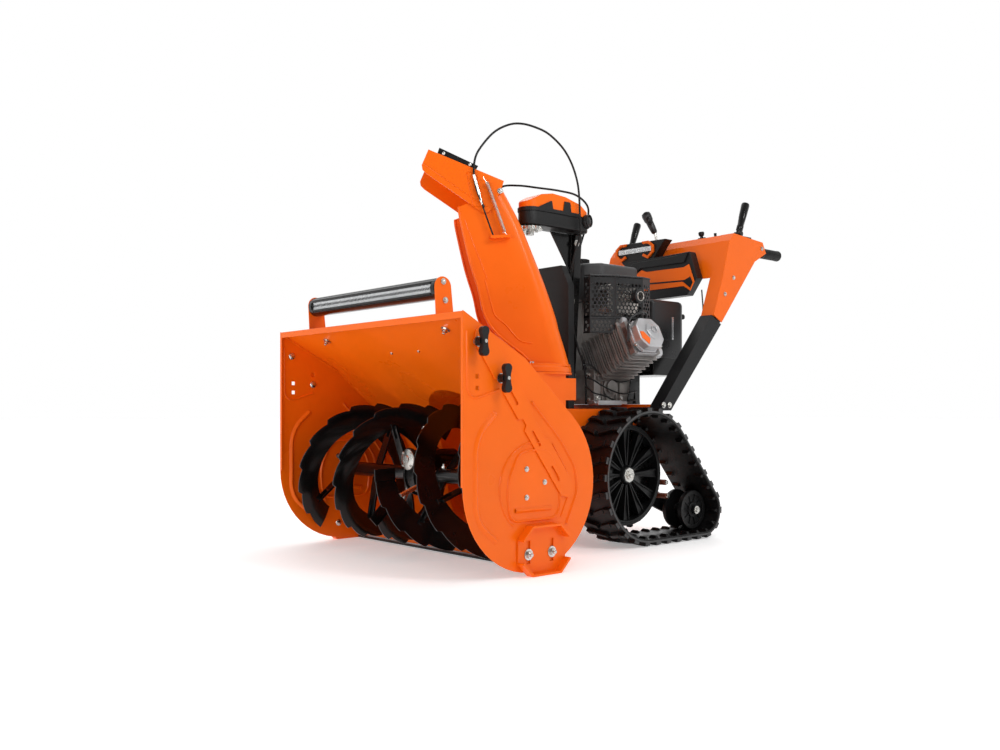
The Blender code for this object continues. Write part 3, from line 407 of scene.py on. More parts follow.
def bevel_edges(obj, width, angle):
    modifier = obj.modifiers.new("edges", "BEVEL")
    modifier.width = width
    modifier.segments = 2
    modifier.limit_method = "ANGLE"
    modifier.angle_limit = radians(angle)
    return modifier


def softened(obj, bevel, angle=32):
    """Rounds the sharp edges of a shape and shades it smooth between them."""
    mesh = obj.data
    mesh.polygons.foreach_set("use_smooth", [True] * len(mesh.polygons))
    mesh.set_sharp_from_angle(angle=radians(angle))
    if bevel:
        bevel_edges(obj, bevel, angle).harden_normals = True


def piece(name, shapes, material, body="root", stands_for=(), bevel=0.0, angle=32, slot=None):
    """One shown piece: its shapes side by side in one mesh, riding on a body."""
    bm = bmesh.new()
    for shape in shapes:
        bm.from_mesh(shape)
        bpy.data.meshes.remove(shape)
    mesh = bpy.data.meshes.new(name)
    bm.to_mesh(mesh)
    bm.free()
    mesh.transform(INTO_ROW)
    mesh.materials.append(material)
    obj = bpy.data.objects.new(name, mesh)
    BENCH.objects.link(obj)
    softened(obj, bevel, angle)
    if stands_for:
        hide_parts(*stands_for)
    if body:
        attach(obj, body)
    return obj


def pair(name, shapes, material, body="root", stands_for=(), **looks):
    """The same piece on both sides; a body or node name with {} takes the side's name."""
    twins = [mirrored(shape) for shape in shapes]
    for side, own in (("left", shapes), ("right", twins)):
        piece(f"{name}_{side}", own, material, body.format(side),
              [node.format(side) for node in stands_for], **looks)


def dress(material, bevel, *nodes, angle=30):
    """Finish for CAD nodes that are shown as they are, with their edges rounded."""
    for node in nodes:
        obj = frame["nodes"][node]
        obj.data.materials.clear()
        obj.data.materials.append(material)
        weld = obj.modifiers.new("weld", "WELD")
        weld.merge_threshold = 0.00002
        flat = obj.modifiers.new("flat", "DECIMATE")
        flat.decimate_type = "DISSOLVE"
        flat.angle_limit = radians(0.4)
        softened(obj, bevel, angle)
        shade = obj.modifiers.new("shade", "WEIGHTED_NORMAL")
        shade.keep_sharp = True


def hex_bolt(at, axis, radius=0.0065, height=0.005, washer=1.6):
    """A flange-head bolt: washer face, hexagon and a slightly crowned top."""
    at, axis = Vector(at), Vector(axis).normalized()
    return [rod(at - axis * 0.0005, at + axis * 0.0016, radius * washer, 28),
            rod(at, at + axis * height, radius * 1.12, 6),
            dome(at + axis * height, axis, radius * 0.72, 0.0012)]


def hex_bolts(places, axis, *sizes):
    return [shape for at in places for shape in hex_bolt(at, axis, *sizes)]


def nut_and_stud(at, axis, radius=0.0065):
    """A washer and nut with the end of the bolt showing."""
    at, axis = Vector(at), Vector(axis).normalized()
    return [rod(at, at + axis * 0.0018, radius * 1.75, 28),
            rod(at, at + axis * 0.0075, radius * 1.15, 6),
            rod(at, at + axis * 0.013, radius * 0.62, 16),
            dome(at + axis * 0.013, axis, radius * 0.62, 0.0012)]


def left_right(node):
    return (f"{node}_left", f"{node}_right")


# ---------------------------------------------------------------- auger housing

def on_side(y, z, out):
    return (SIDE_X + out, y, z)


def inside_side(y, z, out):
    return (SIDE_X - SHEET - out, y, z)


BEADS = {
    "front_band": (((0.093, 0.378), (0.050, 0.338), (0.035, 0.300), (0.035, 0.160), (0.050, 0.125),
                    (0.096, 0.088)), 0.014),
    "tower_arch": ((*arc((0.213, 0.203), 0.107, 232, 8, 22),), 0.005),
    "rear_band": (((0.205, 0.404), (0.298, 0.313), (0.347, 0.248), (0.357, 0.190), (0.318, 0.112)),
                  0.006),
    "rear_band_inner": (((0.272, 0.305), (0.322, 0.236), (0.330, 0.190), (0.300, 0.130)), 0.004),
    "knob_field": (((0.010, 0.560), (0.012, 0.425), (0.030, 0.410), (0.104, 0.432)), 0.005),
    "slot": (((0.153, 0.1535), (0.268, 0.1535)), 0.012),
}


def side_beads(place):
    shapes = []
    for path, width in BEADS.values():
        line = rounded(path, 0.02) if len(path) < 12 else [Vector(p) for p in path]
        shapes.append(bead(line, width * 1.15, min(0.0052, width * 0.70), place))
    inner = [(0.136, 0.128), (0.292, 0.128), (0.300, 0.215), (0.262, 0.292), (0.166, 0.292),
             (0.128, 0.215)]
    shapes.append(bead(rounded(inner, 0.03, closed=True), 0.007, 0.0042, place))
    return shapes


def housing():
    dress(ORANGE, 0.0009, *left_right("housing_side"))
    dress(ORANGE, 0.0012, "impeller_drum", "chassis_frame")
    dress(ORANGE, 0.0012, "housing_wrapper", angle=14)
    dress(BLACK_SATIN, 0.0008, "scraper_bar")
    pair("side_ribs_outer", side_beads(on_side), ORANGE)
    pair("side_ribs_inner", side_beads(inside_side), ORANGE)

    screws = []
    for y, z in ((0.189, 0.248), (0.247, 0.215), (0.189, 0.182)):
        screws += hex_bolt((SIDE_X, y, z), (1, 0, 0), 0.0045, 0.004, 1.45)
        screws += nut_and_stud((SIDE_X - SHEET, y, z), (-1, 0, 0), 0.0042)
    pair("bearing_screws", screws, ZINC)
    heads = [dome((SIDE_X - SHEET, y, z), (-1, 0, 0), 0.010, 0.0045)
             for y, z in ((0.036, 0.537), (0.105, 0.457), *SKID_BOLTS)]
    pair("carriage_heads", heads, ZINC)
    strip = box((SIDE_X - 0.0090, 0.0002, 0.214), (SIDE_X - SHEET, 0.0028, 0.596))
    pair("front_edge_strip", [strip], ORANGE, bevel=0.001)
    piece("rolled_front_lip", [rod_x(-0.4095, 0.4095, 0.0052, 0.5985, 0.0048, 24)], ORANGE)

    down = Vector((0, -0.1000, -0.1855)).normalized()
    fasteners = []
    for x in (-0.240, 0.287):
        fasteners += nut_and_stud((x, 0.050, 0.5735), down)
    fasteners += hex_bolts([(x, 0.1256, 0.5345) for x in (-0.041, 0.079)], down, 0.0035, 0.003, 1.3)
    piece("top_sheet_fasteners", fasteners, ZINC)
    seam = ((0.012, 0.5925), (0.185, 0.4990), (0.3395, 0.3690))
    pair("side_seam", [tube([(SIDE_X - 0.0050, *point) for point in seam], 0.0022, 8)], ORANGE)


def skids():
    dress(ORANGE, 0.0016, *left_right("skid_shoe"))
    nuts = []
    for y, z in SKID_BOLTS:
        nuts += nut_and_stud((SIDE_X + 0.0044, y, z), (1, 0, 0), 0.0075)
    pair("skid_bolts", nuts, ZINC)


DRIFT_TOP = Vector((0.040, 0.567))
DRIFT_END = Vector((0.330, 0.176))
KNOBS = {"upper": (0.038, 0.537), "lower": (0.105, 0.457)}


def drift_cutters():
    """A slotted bar on each side, and the two wing knobs that clamp it."""
    run = DRIFT_END - DRIFT_TOP
    along = run.normalized()
    across = Vector((-along.y, along.x))
    end = run.length

    def at(u, v):
        return tuple(DRIFT_TOP + along * u + across * v)

    outline = (
        (0.018, -0.026), (0.120, -0.026), (0.128, -0.016), (0.150, -0.014), (0.156, -0.024),
        (0.236, -0.024), (0.244, -0.012), (0.262, -0.012), (0.268, -0.024), (end - 0.022, -0.022),
        (end - 0.004, -0.008), (end, 0.008), (end - 0.018, 0.026), (0.330, 0.026), (0.322, 0.017),
        (0.250, 0.017), (0.242, 0.026), (0.018, 0.026), (0, 0.008), (0, -0.008),
    )
    slot = ((0, -0.010), (0.040, -0.010), (0.043, -0.006), (0.040, -0.002), (0, -0.002),
            (-0.003, -0.006))
    slots = [[at(start + u, v) for u, v in slot] for start in (0.165, 0.285, 0.390)]
    bar = prism([at(u, v) for u, v in outline], "x", SIDE_X + 0.0004, SIDE_X + 0.0039, slots)
    pair("drift_bar", [bar], ORANGE, stands_for=("drift_cutter_{}",), bevel=0.0009)

    lobe, rise, waist = 0.0105, 0.0225, 0.0062
    hollow = (waist ** 2 - lobe ** 2 + rise ** 2) / (2 * (lobe - waist))
    reach = waist + hollow
    lean = degrees(atan2(rise, reach))
    face = SIDE_X + 0.0046
    for place, (y, z) in KNOBS.items():
        outline = [*arc((y, z + rise), lobe, -lean, 180 + lean, 16),
                   *arc((y - reach, z), hollow, lean, -lean, 8)[1:-1],
                   *arc((y, z - rise), lobe, 180 - lean, 360 + lean, 16),
                   *arc((y + reach, z), hollow, 180 + lean, 180 - lean, 8)[1:-1]]
        knob = [prism(outline, "x", SIDE_X + 0.020, SIDE_X + 0.033),
                rod_x(face, SIDE_X + 0.024, y, z, 0.0095, 28, 0.0105)]
        pair(f"{place}_wing_knob", knob, BLACK_PLASTIC, stands_for=(f"drift_knob_{place}_{{}}",),
             bevel=0.0032)
        stud = [rod_x(face, SIDE_X + 0.0075, y, z, 0.0115, 28),
                rod_x(SIDE_X + 0.030, SIDE_X + 0.0345, y, z, 0.0042, 18)]
        pair(f"{place}_knob_stud", stud, ZINC)


def light_bar():
    y, z = LIGHT_BAR
    half, reach = 0.268, 0.2835
    dress(BLACK_GLOSS, 0.0008, "light_bar_body")
    dress(LENS, 0.0, "light_bar_lens")
    dress(ORANGE, 0.0010, *left_right("light_bracket"))

    def strip(front, back, low, high):
        """A strip along the bar; front and back are depths ahead of its middle."""
        return box((-half, y - front, z + low), (half, y - back, z + high))

    backing = [strip(0.0190, 0.0182, -0.0098, 0.0098), strip(0.0196, 0.0186, -0.0078, -0.0038),
               strip(0.0196, 0.0186, 0.0048, 0.0088)]
    piece("lamp_strip", backing, REFLECTOR, bevel=0.0003)
    count = 84
    spots = [(-0.264 + 0.528 * k / (count - 1), y - 0.0192, z + 0.0005) for k in range(count)]
    ticks = [box((-0.0011, -0.0006, -0.0034), (0.0011, 0.0006, 0.0034), turned(spot, -0.7, "Y"))
             for spot in spots]
    piece("lamp_ticks", ticks, BLACK_GLOSS)
    rails = [strip(0.0235, 0.0185, h - 0.0012, h + 0.0012) for h in (-0.0130, -0.0108, 0.0108, 0.0130)]
    piece("lamp_rails", rails, BLACK_GLOSS, bevel=0.0004)
    ridges = [rod_x(-reach, reach, v, w, 0.0010, 8) for v, w in arc(LIGHT_BAR, 0.0247, -60, 140, 10)]
    piece("light_bar_fins", ridges, BLACK_GLOSS)
    spots = [(reach + 0.0045, 0.042, 0.683), (reach + 0.0045, 0.048, 0.640)]
    pair("light_bracket_bolts", hex_bolts(spots, (1, 0, 0), 0.0052, 0.004, 1.4), ZINC)


# ---------------------------------------------------------------- auger and impeller

def ribbon(start_angle):
    """A serrated flight with a slight cup in its faces; x grows with the angle."""
    per_tooth = 8
    count = int((AUGER_SPAN[1] - AUGER_SPAN[0]) / AUGER_PITCH * TEETH_PER_TURN * per_tooth)
    rings = []
    for i in range(count + 1):
        turn = i / (TEETH_PER_TURN * per_tooth)
        angle = radians(start_angle) + 2 * pi * turn
        x = AUGER_SPAN[0] + AUGER_PITCH * turn
        phase = (i % per_tooth) / (per_tooth - 1)
        outer = AUGER_RADIUS - TOOTH * (1 - phase) ** 1.6
        radial = Vector((0, cos(angle), sin(angle)))
        section = []
        for r, dx in ((AUGER_INNER_RADIUS, -1), (0.160, -1), (outer, -1), (outer, 1), (0.160, 1),
                      (AUGER_INNER_RADIUS, 1)):
            cup = 0.004 * sin(pi * (r - AUGER_INNER_RADIUS) / (AUGER_RADIUS - AUGER_INNER_RADIUS))
            section.append(AUGER_AXIS + radial * r + Vector((x + dx * 0.0018 - cup, 0, 0)))
        rings.append(section)
    return loft(rings)


def flight_angle(start, x):
    """How far a flight that starts at start degrees has turned at x."""
    return radians(start) + 2 * pi * (x - AUGER_SPAN[0]) / AUGER_PITCH


def auger():
    axis = AUGER_AXIS
    dress(ZINC, 0.0005, "auger_shaft")
    for side, sign, starts in (("left", 1, (-5, 182)), ("right", -1, (56, 224))):
        node = (f"auger_{side}",)

        def placed(shapes):
            return shapes if sign > 0 else [mirrored(shape) for shape in shapes]

        for number, start in enumerate(starts, 1):
            piece(f"auger_{side}_flight_{number}", placed([ribbon(start)]), BLACK_GLOSS, "auger", node,
                  bevel=0.0006, angle=50)
        bars, pads = [], []
        for start in starts:
            for x in ARM_X:
                at = turned(axis + Vector((x, 0, 0)), flight_angle(start, x))
                bars.append(box((-0.014, 0.016, -0.0035), (0.014, 0.137, 0.0035), at))
                pads.append(box((-0.002, 0.100, -0.0085), (0.002, 0.145, 0.0085), at))
        piece(f"auger_{side}_arms", placed(bars + pads), BLACK_GLOSS, "auger", node, bevel=0.001)
        paddles = [box((0.0345, 0.124, -0.0290), (0.0375, 0.186, 0.0020), turned(axis, radians(start)))
                   for start in starts]
        piece(f"auger_{side}_paddles", placed(paddles), BLACK_GLOSS, "auger", bevel=0.0008)
        spokes = []
        for start in starts:
            angle = flight_angle(start, INNER_SPOKE_X)
            out = Vector((0, cos(angle), sin(angle)))
            root = axis + Vector((INNER_SPOKE_X, 0, 0))
            spokes += [rod(root + out * 0.013, root + out * reach, radius, 24)
                       for reach, radius in ((0.130, 0.0065), (0.034, 0.0090))]
        piece(f"auger_{side}_inner_spokes", placed(spokes), ZINC, "auger", bevel=0.0006)
        hub = lathe([(0, 0.0145), (0, 0.021), (0.02, 0.021), (0.02, 0.0195), (0.98, 0.0195),
                     (0.98, 0.021), (1, 0.021), (1, 0.0145)],
                    (sign * HUB_X[0], *axis.yz), (sign * HUB_X[1], *axis.yz), 28, closed=True)
        piece(f"auger_{side}_hub", [hub], BLACK_GLOSS, "auger", node, bevel=0.0006)
        x, y, z = sign * SHEAR_PIN_X, axis.y, axis.z
        pin = [rod((x, y, z - 0.031), (x, y, z + 0.031), 0.0042, 16),
               *hex_bolt((x, y, z + 0.0205), (0, 0, 1), 0.006, 0.005, 1.2)]
        piece(f"auger_{side}_shear_pin", pin, ZINC, "auger")


def gearcase():
    y, z = AUGER_AXIS.yz
    dress(BLACK_GLOSS, 0.0025, "gearcase")
    cap = [lathe([(0, 0.0275), (0.5, 0.0275), (0.7, 0.0235), (1, 0.020)],
                 (0, 0.1495, IMPELLER_Z), (0, 0.1435, IMPELLER_Z), 36),
           rod((0, 0.144, IMPELLER_Z), (0, 0.1395, IMPELLER_Z), 0.012, 28, 0.010)]
    spots = [(u, 0.1455, v) for u, v in arc((0, IMPELLER_Z), 0.0225, 45, 315, 3)]
    cap += hex_bolts(spots, (0, -1, 0), 0.0028, 0.003, 1.3)
    piece("gearcase_front_cap", cap, ZINC, bevel=0.0006)
    piece("gearcase_plug", hex_bolt((0, y, z + 0.085), (0, 0, 1), 0.009, 0.008, 1.25), ZINC)
    flanges = [ring(0.0500, 0.0585, (x - 0.003, y, z), (x + 0.003, y, z)) for x in (-0.020, 0.020)]
    piece("gearcase_flanges", flanges, BLACK_GLOSS, bevel=0.0012)


def impeller():
    dress(ORANGE, 0.0010, "impeller")
    dress(HEATED, 0.0008, "impeller_shaft", "crank_pulley")
    dress(RUBBER, 0.0006, "drive_belt")
    dress(BLACK_PLASTIC, 0.0040, "belt_cover")


# ---------------------------------------------------------------- chute

CHUTE_SECTIONS = (
    ((-0.102, 0.504), (0.002, 0.504), 0.050),
    ((-0.088, 0.552), (0.040, 0.540), 0.048),
    ((-0.072, 0.602), (0.104, 0.590), 0.046),
    ((-0.062, 0.640), (0.137, 0.640), 0.045),
    ((-0.036, 0.715), (0.153, 0.708), 0.042),
    ((-0.008, 0.785), (0.177, 0.786), 0.038),
    ((0.036, 0.888), (0.203, 0.900), 0.032),
    ((0.083, 0.976), (0.206, 0.928), 0.026),
)


def chute_point(s, t, z):
    """Chute coordinates: s along the discharge heading, t across to the left, z up."""
    return CHUTE_FRAME @ Vector((t, -s, z))


def chute_side(offset, sign=1):
    """Puts beads on a side of the chute, offset from its middle; sign -1 is the far side."""
    return lambda s, z, out: chute_point(s, sign * (offset + out), z)


def chute_rod(start, end, radius, sides=20):
    return rod(chute_point(*start), chute_point(*end), radius, sides)


def chute_section(back, front, corner):
    half = CHUTE_HALF_WIDTH - 0.0015
    length = hypot(front[0] - back[0], front[1] - back[1])
    u = ((front[0] - back[0]) / length, (front[1] - back[1]) / length)
    side = [(length * (1 - k / 4) + corner * k / 4, half) for k in range(5)]
    bend = [(corner - corner * sin(a), half - corner + corner * cos(a))
            for a in (radians(k * 11.25) for k in range(1, 9))]
    left = [*side, *bend]
    flat = [*left, *[(d, -t) for d, t in reversed(left)]]
    return [chute_point(back[0] + u[0] * d, t, back[1] + u[1] * d) for d, t in flat]


def chute_rows(per_span):
    """Sections read smoothly between the stated ones."""
    flat = [Vector((*back, *front, corner)) for back, front, corner in CHUTE_SECTIONS]
    ends = [flat[0], *flat, flat[-1]]
    rows = [curve_at(*four, i / per_span)
            for four in zip(ends, ends[1:], ends[2:], ends[3:])
            for i in range(per_span)]
    return [((r[0], r[1]), (r[2], r[3]), r[4]) for r in (*rows, flat[-1])]


def chute():
    rows = chute_rows(5)
    sheet = loft([chute_section(*row) for row in rows], around=False)
    shell = piece("chute_shell", [sheet], ORANGE, None, ("chute",), angle=50)
    solidify = shell.modifiers.new("thickness", "SOLIDIFY")
    solidify.thickness = SHEET
    solidify.offset = 0.0
    bevel_edges(shell, 0.0009, 50)
    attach(shell, "chute_turret")

    edges = []
    for sign in (-1, 1):
        line = [chute_point(front[0] - 0.002, sign * (CHUTE_HALF_WIDTH - 0.0020), front[1])
                for _, front, _ in rows[2:]]
        edges.append(tube(line, 0.0036, 12))
    piece("chute_front_edges", edges, ORANGE, "chute_turret")

    centre = CHUTE_AXIS.xy
    collar = lathe([(0, 0.0985), (0, 0.1145), (0.62, 0.1145), (0.70, 0.1125), (1, 0.1125), (1, 0.0890),
                    (0.85, 0.0890)], (*centre, 0.487), (*centre, 0.510), 64, closed=True)
    piece("chute_ring", [collar], ORANGE, "chute_turret", ("chute",), bevel=0.0012)
    heads = [rod((*spot, 0.509), (*spot, 0.5145), 0.0055, 6) for spot in arc(centre, 0.106, 20, 320, 5)]
    piece("chute_ring_bolts", heads, ZINC, "chute_turret", bevel=0.0006)

    foot = rounded([(0.134, 0.733), (0.109, 0.636), (0.080, 0.616), (0.041, 0.569), (0.007, 0.564)],
                   0.018)
    near, far = chute_side(CHUTE_HALF_WIDTH), chute_side(CHUTE_HALF_WIDTH, -1)
    ribs = [bead(foot, 0.006, 0.0020, near),
            bead([(0.128, 0.735), (0.190, 0.895)], 0.005, 0.0016, near),
            bead(foot, 0.006, 0.0020, far)]
    piece("chute_side_ribs", ribs, ORANGE, "chute_turret")
    dress(ZINC, 0.0006, "chute_gear")

    tab = prism([(-0.066, 0.846), (-0.120, 0.842), (-0.122, 0.850), (-0.068, 0.854)], "x",
                CHUTE_HALF_WIDTH - 0.001, 0.110)
    piece("spring_tab", [moved(tab, CHUTE_FRAME)], ORANGE, "chute_turret", bevel=0.0008)


def deflector():
    dress(ORANGE, 0.0012, "deflector")
    dress(RUBBER, 0.0008, "deflector_strip")
    near = chute_side(DEFLECTOR_SIDE)
    fold = [(0.300, 1.040), (0.150, 0.938), (0.128, 0.930)]
    slot = rounded([(0.186, 1.022), (0.166, 0.930), (0.140, 0.926), (0.156, 1.014)], 0.008,
                   closed=True)
    ribs = [bead(fold, 0.0045, 0.0015, near), bead(slot, 0.004, 0.0018, near)]
    piece("deflector_ribs", ribs, ORANGE, "deflector_hood")

    start, end = Vector((0.084, 1.005)), Vector((0.286, 1.084))
    rivets = []
    for share in (0.45, 0.80):
        s, z = start.lerp(end, share)
        rivets.append(dome(chute_point(s, DEFLECTOR_SIDE + 0.0005, z), ACROSS_CHUTE, 0.0048, 0.0030))
    for sign in (1, -1):
        rivets += hex_bolt(chute_point(0.094, sign * DEFLECTOR_SIDE, 0.972), sign * ACROSS_CHUTE,
                           0.0055, 0.004, 1.4)
    piece("deflector_rivets", rivets, ZINC, "deflector_hood")

    def wire(points, radius, sides):
        return tube(smooth([chute_point(*point) for point in points], 4), radius, sides)

    t, radius, turns, steps = 0.1045, 0.0045, 44, 12
    top_eye, low_eye = Vector((0.131, 0.992)), Vector((0.083, 0.860))
    down = (low_eye - top_eye).normalized()
    coil = []
    for k in range(turns * steps + 1):
        a = 2 * pi * k / steps
        flat = top_eye.lerp(low_eye, k / (turns * steps))
        flat += Vector((-down.y, down.x)) * (radius * cos(a))
        coil.append(chute_point(flat.x, t + radius * sin(a), flat.y))
    spring = [tube(coil, 0.0011, 6),
              wire([(0.140, t, 1.007), (0.138, t, 1.001), (0.131, t, 0.992)], 0.0012, 8),
              wire([(0.083, t, 0.860), (0.079, t, 0.855), (0.075, t, 0.846)], 0.0012, 8)]
    piece("deflector_spring_coil", spring, ZINC, "chute_turret", ("deflector_spring",))

    t = 0.1035
    fitting = [chute_rod((0.166, t, 1.012), (0.150, t, 0.958), 0.0042),
               chute_rod((0.1500, t, 0.958), (0.143, t, 0.932), 0.0030),
               chute_rod((0.160, 0.0955, 0.990), (0.160, 0.1060, 0.990), 0.0050, 6),
               chute_rod((0.147, 0.0955, 0.944), (0.147, 0.1060, 0.944), 0.0045, 6)]
    piece("deflector_cable_fitting", fitting, ZINC, "chute_turret", bevel=0.0005)
    inner = wire([(0.143, t, 0.932), (0.128, t, 0.890), (0.113, t, 0.849)], 0.0022, 10)
    piece("deflector_inner_wire", [inner], JACKET, "chute_turret")


# ---------------------------------------------------------------- tower and cables

def tower():
    dress(BLACK_GLOSS, 0.0022, "chute_post")
    dress(BLACK_PLASTIC, 0.0065, "gear_head_base", angle=25)
    dress(ORANGE, 0.0050, "gear_head_cover", angle=25)
    x, y = CHUTE_AXIS.xy
    half, foot, rim = 0.0365, 0.936, 0.9465
    sides = [y + 0.045 + 0.0045 * k for k in range(27)]
    outline = [*[(x - half, v) for v in reversed(sides)], *arc((x, y), 0.0335, 180, 360, 24),
               *[(x + half, v) for v in sides]]
    notches = ((0.512, 0.557, 0.968), (0.602, 0.629, 0.974), (0.676, 0.720, 0.953))

    def rim_height(v):
        """The black shell stands up through the notches in the orange cover."""
        return next((top for start, end, top in notches if start < v < end), rim)

    rings = []
    for u, v in outline:
        out = Vector((u - x, v - y if v < y else 0.0)).normalized() * 0.0016
        top = rim_height(v)
        rings.append([(u, v, foot), (u, v, top), (u + out.x, v + out.y, top),
                      (u + out.x, v + out.y, foot)])
    piece("gear_head_shell", [loft(rings)], BLACK_PLASTIC, bevel=0.0005)
    knob = [dome((x + 0.033, 0.697, 0.928), (1, 0.4, 0), 0.021, 0.013),
            ring(0.0155, 0.0185, (x + half, 0.698, 0.930), (x + 0.0440, 0.700, 0.930), 28)]
    piece("gear_head_motor_cap", knob, BLACK_PLASTIC, bevel=0.0006)
    bolts = hex_bolts([(0.0855, 0.690, 0.870), (0.0855, 0.672, 0.700), (0.0855, 0.663, 0.500)],
                      (1, 0, 0), 0.0060, 0.005)
    bolts += [rod((*spot, 0.885), (*spot, 0.881), 0.0035, 6) for spot in arc((x, y), 0.020, 0, 288, 4)]
    piece("tower_bolts", bolts, ZINC)


CABLE_RADIUS = 0.003
NEAR_CABLE = (
    (0.0905, 0.3325, 0.925), (0.0795, 0.3170, 0.970), (0.0745, 0.3105, 1.012), (0.0755, 0.314, 1.056),
    (0.079, 0.333, 1.091), (0.085, 0.374, 1.136), (0.093, 0.421, 1.163), (0.100, 0.463, 1.1715),
    (0.107, 0.510, 1.168), (0.114, 0.551, 1.156), (0.121, 0.596, 1.126), (0.126, 0.626, 1.088),
    (0.130, 0.645, 1.042), (0.1315, 0.653, 0.998), (0.1315, 0.656, 0.944), (0.128, 0.662, 0.890),
    (0.112, 0.662, 0.850), (0.100, 0.660, 0.809), (0.095, 0.655, 0.738), (0.095, 0.660, 0.650),
    (0.096, 0.684, 0.567), (0.097, 0.707, 0.519), (0.098, 0.716, 0.470), (0.098, 0.716, 0.400),
)
FAR_CABLE = (
    (-0.0590, 0.4850, 0.880), (-0.0560, 0.4890, 0.940), (-0.0510, 0.4970, 1.000),
    (-0.0410, 0.512, 1.030), (-0.005, 0.545, 1.032), (0.035, 0.585, 1.0245),
    (0.070, 0.633, 1.0175), (0.096, 0.680, 1.006),
    (0.100, 0.722, 0.978), (0.090, 0.7285, 0.935), (0.072, 0.7285, 0.890), (0.055, 0.7240, 0.840),
    (0.044, 0.712, 0.770), (0.0405, 0.702, 0.690), (0.0405, 0.702, 0.600), (0.042, 0.712, 0.500),
    (0.044, 0.716, 0.400),
)


def cables():
    """Each sleeve is a tube along its route in place of its CAD cable; it stays as drawn and does not
    bend when the chute turns.
    """
    for name, node, route, fixed, carried in (
        ("deflector_cable_sleeve", "deflector_cable", NEAR_CABLE, (0.100, 0.640, 1.100),
         (0.100, 0.385, 1.100)),
        ("chute_lock_cable_sleeve", "chute_lock_cable", FAR_CABLE, FAR_CABLE[7], FAR_CABLE[2]),
    ):
        sleeve = piece(name, [tube(smooth(route, 8), CABLE_RADIUS)], JACKET, None, (node,))
        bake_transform(sleeve)


# ---------------------------------------------------------------- tracks

def belt_loop(big, small):
    """A belt round the drive wheel and the idler, as its length and a sampler."""
    (y1, z1), (y2, z2) = WHEEL_AXIS, IDLER_AXIS
    reach = hypot(y2 - y1, z2 - z1)
    tilt = atan2(z2 - z1, y2 - y1)
    lean = acos((big - small) / reach)
    upper, lower = tilt + lean, tilt - lean
    run = sqrt(reach * reach - (big - small) ** 2)
    lengths = (run, small * (upper - lower), run, big * (2 * pi - upper + lower))
    total = sum(lengths)

    def point(distance, out):
        d = distance % total
        if d < lengths[0]:
            n, c, r, slide = upper, WHEEL_AXIS, big, d
        elif d < lengths[0] + lengths[1]:
            n, c, r, slide = upper - (d - lengths[0]) / small, IDLER_AXIS, small, 0.0
        elif d < total - lengths[3]:
            n, c, r, slide = lower, IDLER_AXIS, small, d - lengths[0] - lengths[1]
        else:
            n, c, r, slide = lower - (d - total + lengths[3]) / big, WHEEL_AXIS, big, 0.0
        return (c[0] + (r + out) * cos(n) + sin(n) * slide,
                c[1] + (r + out) * sin(n) - cos(n) * slide)

    return total, point


def track_shapes():
    """Carcass, chevron lugs, edges and inner drive blocks of one track."""
    total, point = belt_loop(WHEEL_AXIS[1] - LUG, IDLER_AXIS[1] - LUG)
    pitch = total / LUG_COUNT
    samples = 180
    outer, inner, rim = ([point(total * k / samples, out) for k in range(samples)]
                         for out in (-0.001, -CARCASS, -0.006))
    low_x, high_x = TRACK_X
    middle = (low_x + high_x) / 2

    def block(start, end, near_x, far_x, low, high, taper=0.0015, lean=0.0):
        """A tapered block from low to high on the belt; lean shifts its far_x end along the belt."""
        corners = [(start, near_x), (end, near_x), (end - lean, far_x), (start - lean, far_x)]
        d_mid, x_mid = (sum(values) / 4 for values in zip(*corners))
        rings = []
        for out, shrink in ((low, 0.0), (high, taper)):
            rings.append([(x - (shrink if x > x_mid else -shrink),
                           *point(d - (shrink if d > d_mid else -shrink), out)) for d, x in corners])
        return loft(rings)

    carcass = [prism(outer, "x", low_x + 0.002, high_x - 0.002, [inner])]
    edges = [prism(outer, "x", x, x + 0.0020, [rim]) for x in (low_x, high_x - 0.0020)]
    lugs, blocks = [], []
    for d in (k * pitch for k in range(LUG_COUNT)):
        start, end = d + 0.28 * pitch, d + 0.64 * pitch
        for x_out, x_in, lip in ((low_x + 0.004, middle - 0.006, -0.002),
                                 (high_x - 0.004, middle + 0.006, 0.002)):
            knee = (2 * x_out + x_in) / 3
            lugs.append(block(start, end, x_out, knee, -0.002, LUG - 0.0002))
            lugs.append(block(start, end, knee, x_in, -0.002, LUG - 0.0002, lean=0.30 * pitch))
            edges.append(block(d + 0.22 * pitch, d + 0.62 * pitch, x_out + lip, x_out, -0.009,
                               LUG - 0.002, 0.0004))
        for x in (low_x + 0.020, high_x - 0.020):
            blocks.append(block(d + 0.30 * pitch, d + 0.62 * pitch, x - 0.015, x + 0.015,
                                -CARCASS + 0.001, -CARCASS - 0.0075, 0.005))
    return carcass, lugs, edges, blocks


def wheel_spokes():
    """Twelve spokes: two thin ribs that part towards the rim, over a flat that widens with them."""
    y, z = WHEEL_AXIS
    shapes = []
    for k in range(12):
        middle = 2 * pi * k / 12

        def at(radius, turn, x):
            return (x, y + radius * cos(middle + turn), z + radius * sin(middle + turn))

        for side in (-1, 1):
            a, b = side * radians(3.5), side * radians(4.8)
            start, end = Vector(at(0.027, a, 0)), Vector(at(0.1345, b, 0))
            run = end - start
            shapes.append(box((0.179, 0, -0.0018), (0.2010, run.length, 0.0018),
                              turned(start, atan2(run.z, run.y))))
        rings = [[at(r, -radians(t), 0.179), at(r, radians(t), 0.179), at(r, radians(t), x),
                  at(r, -radians(t), x)] for r, t, x in ((0.028, 3.2, 0.199), (0.085, 3.8, 0.194),
                                                         (0.1345, 4.6, 0.1975))]
        shapes.append(loft(rings))
    return shapes


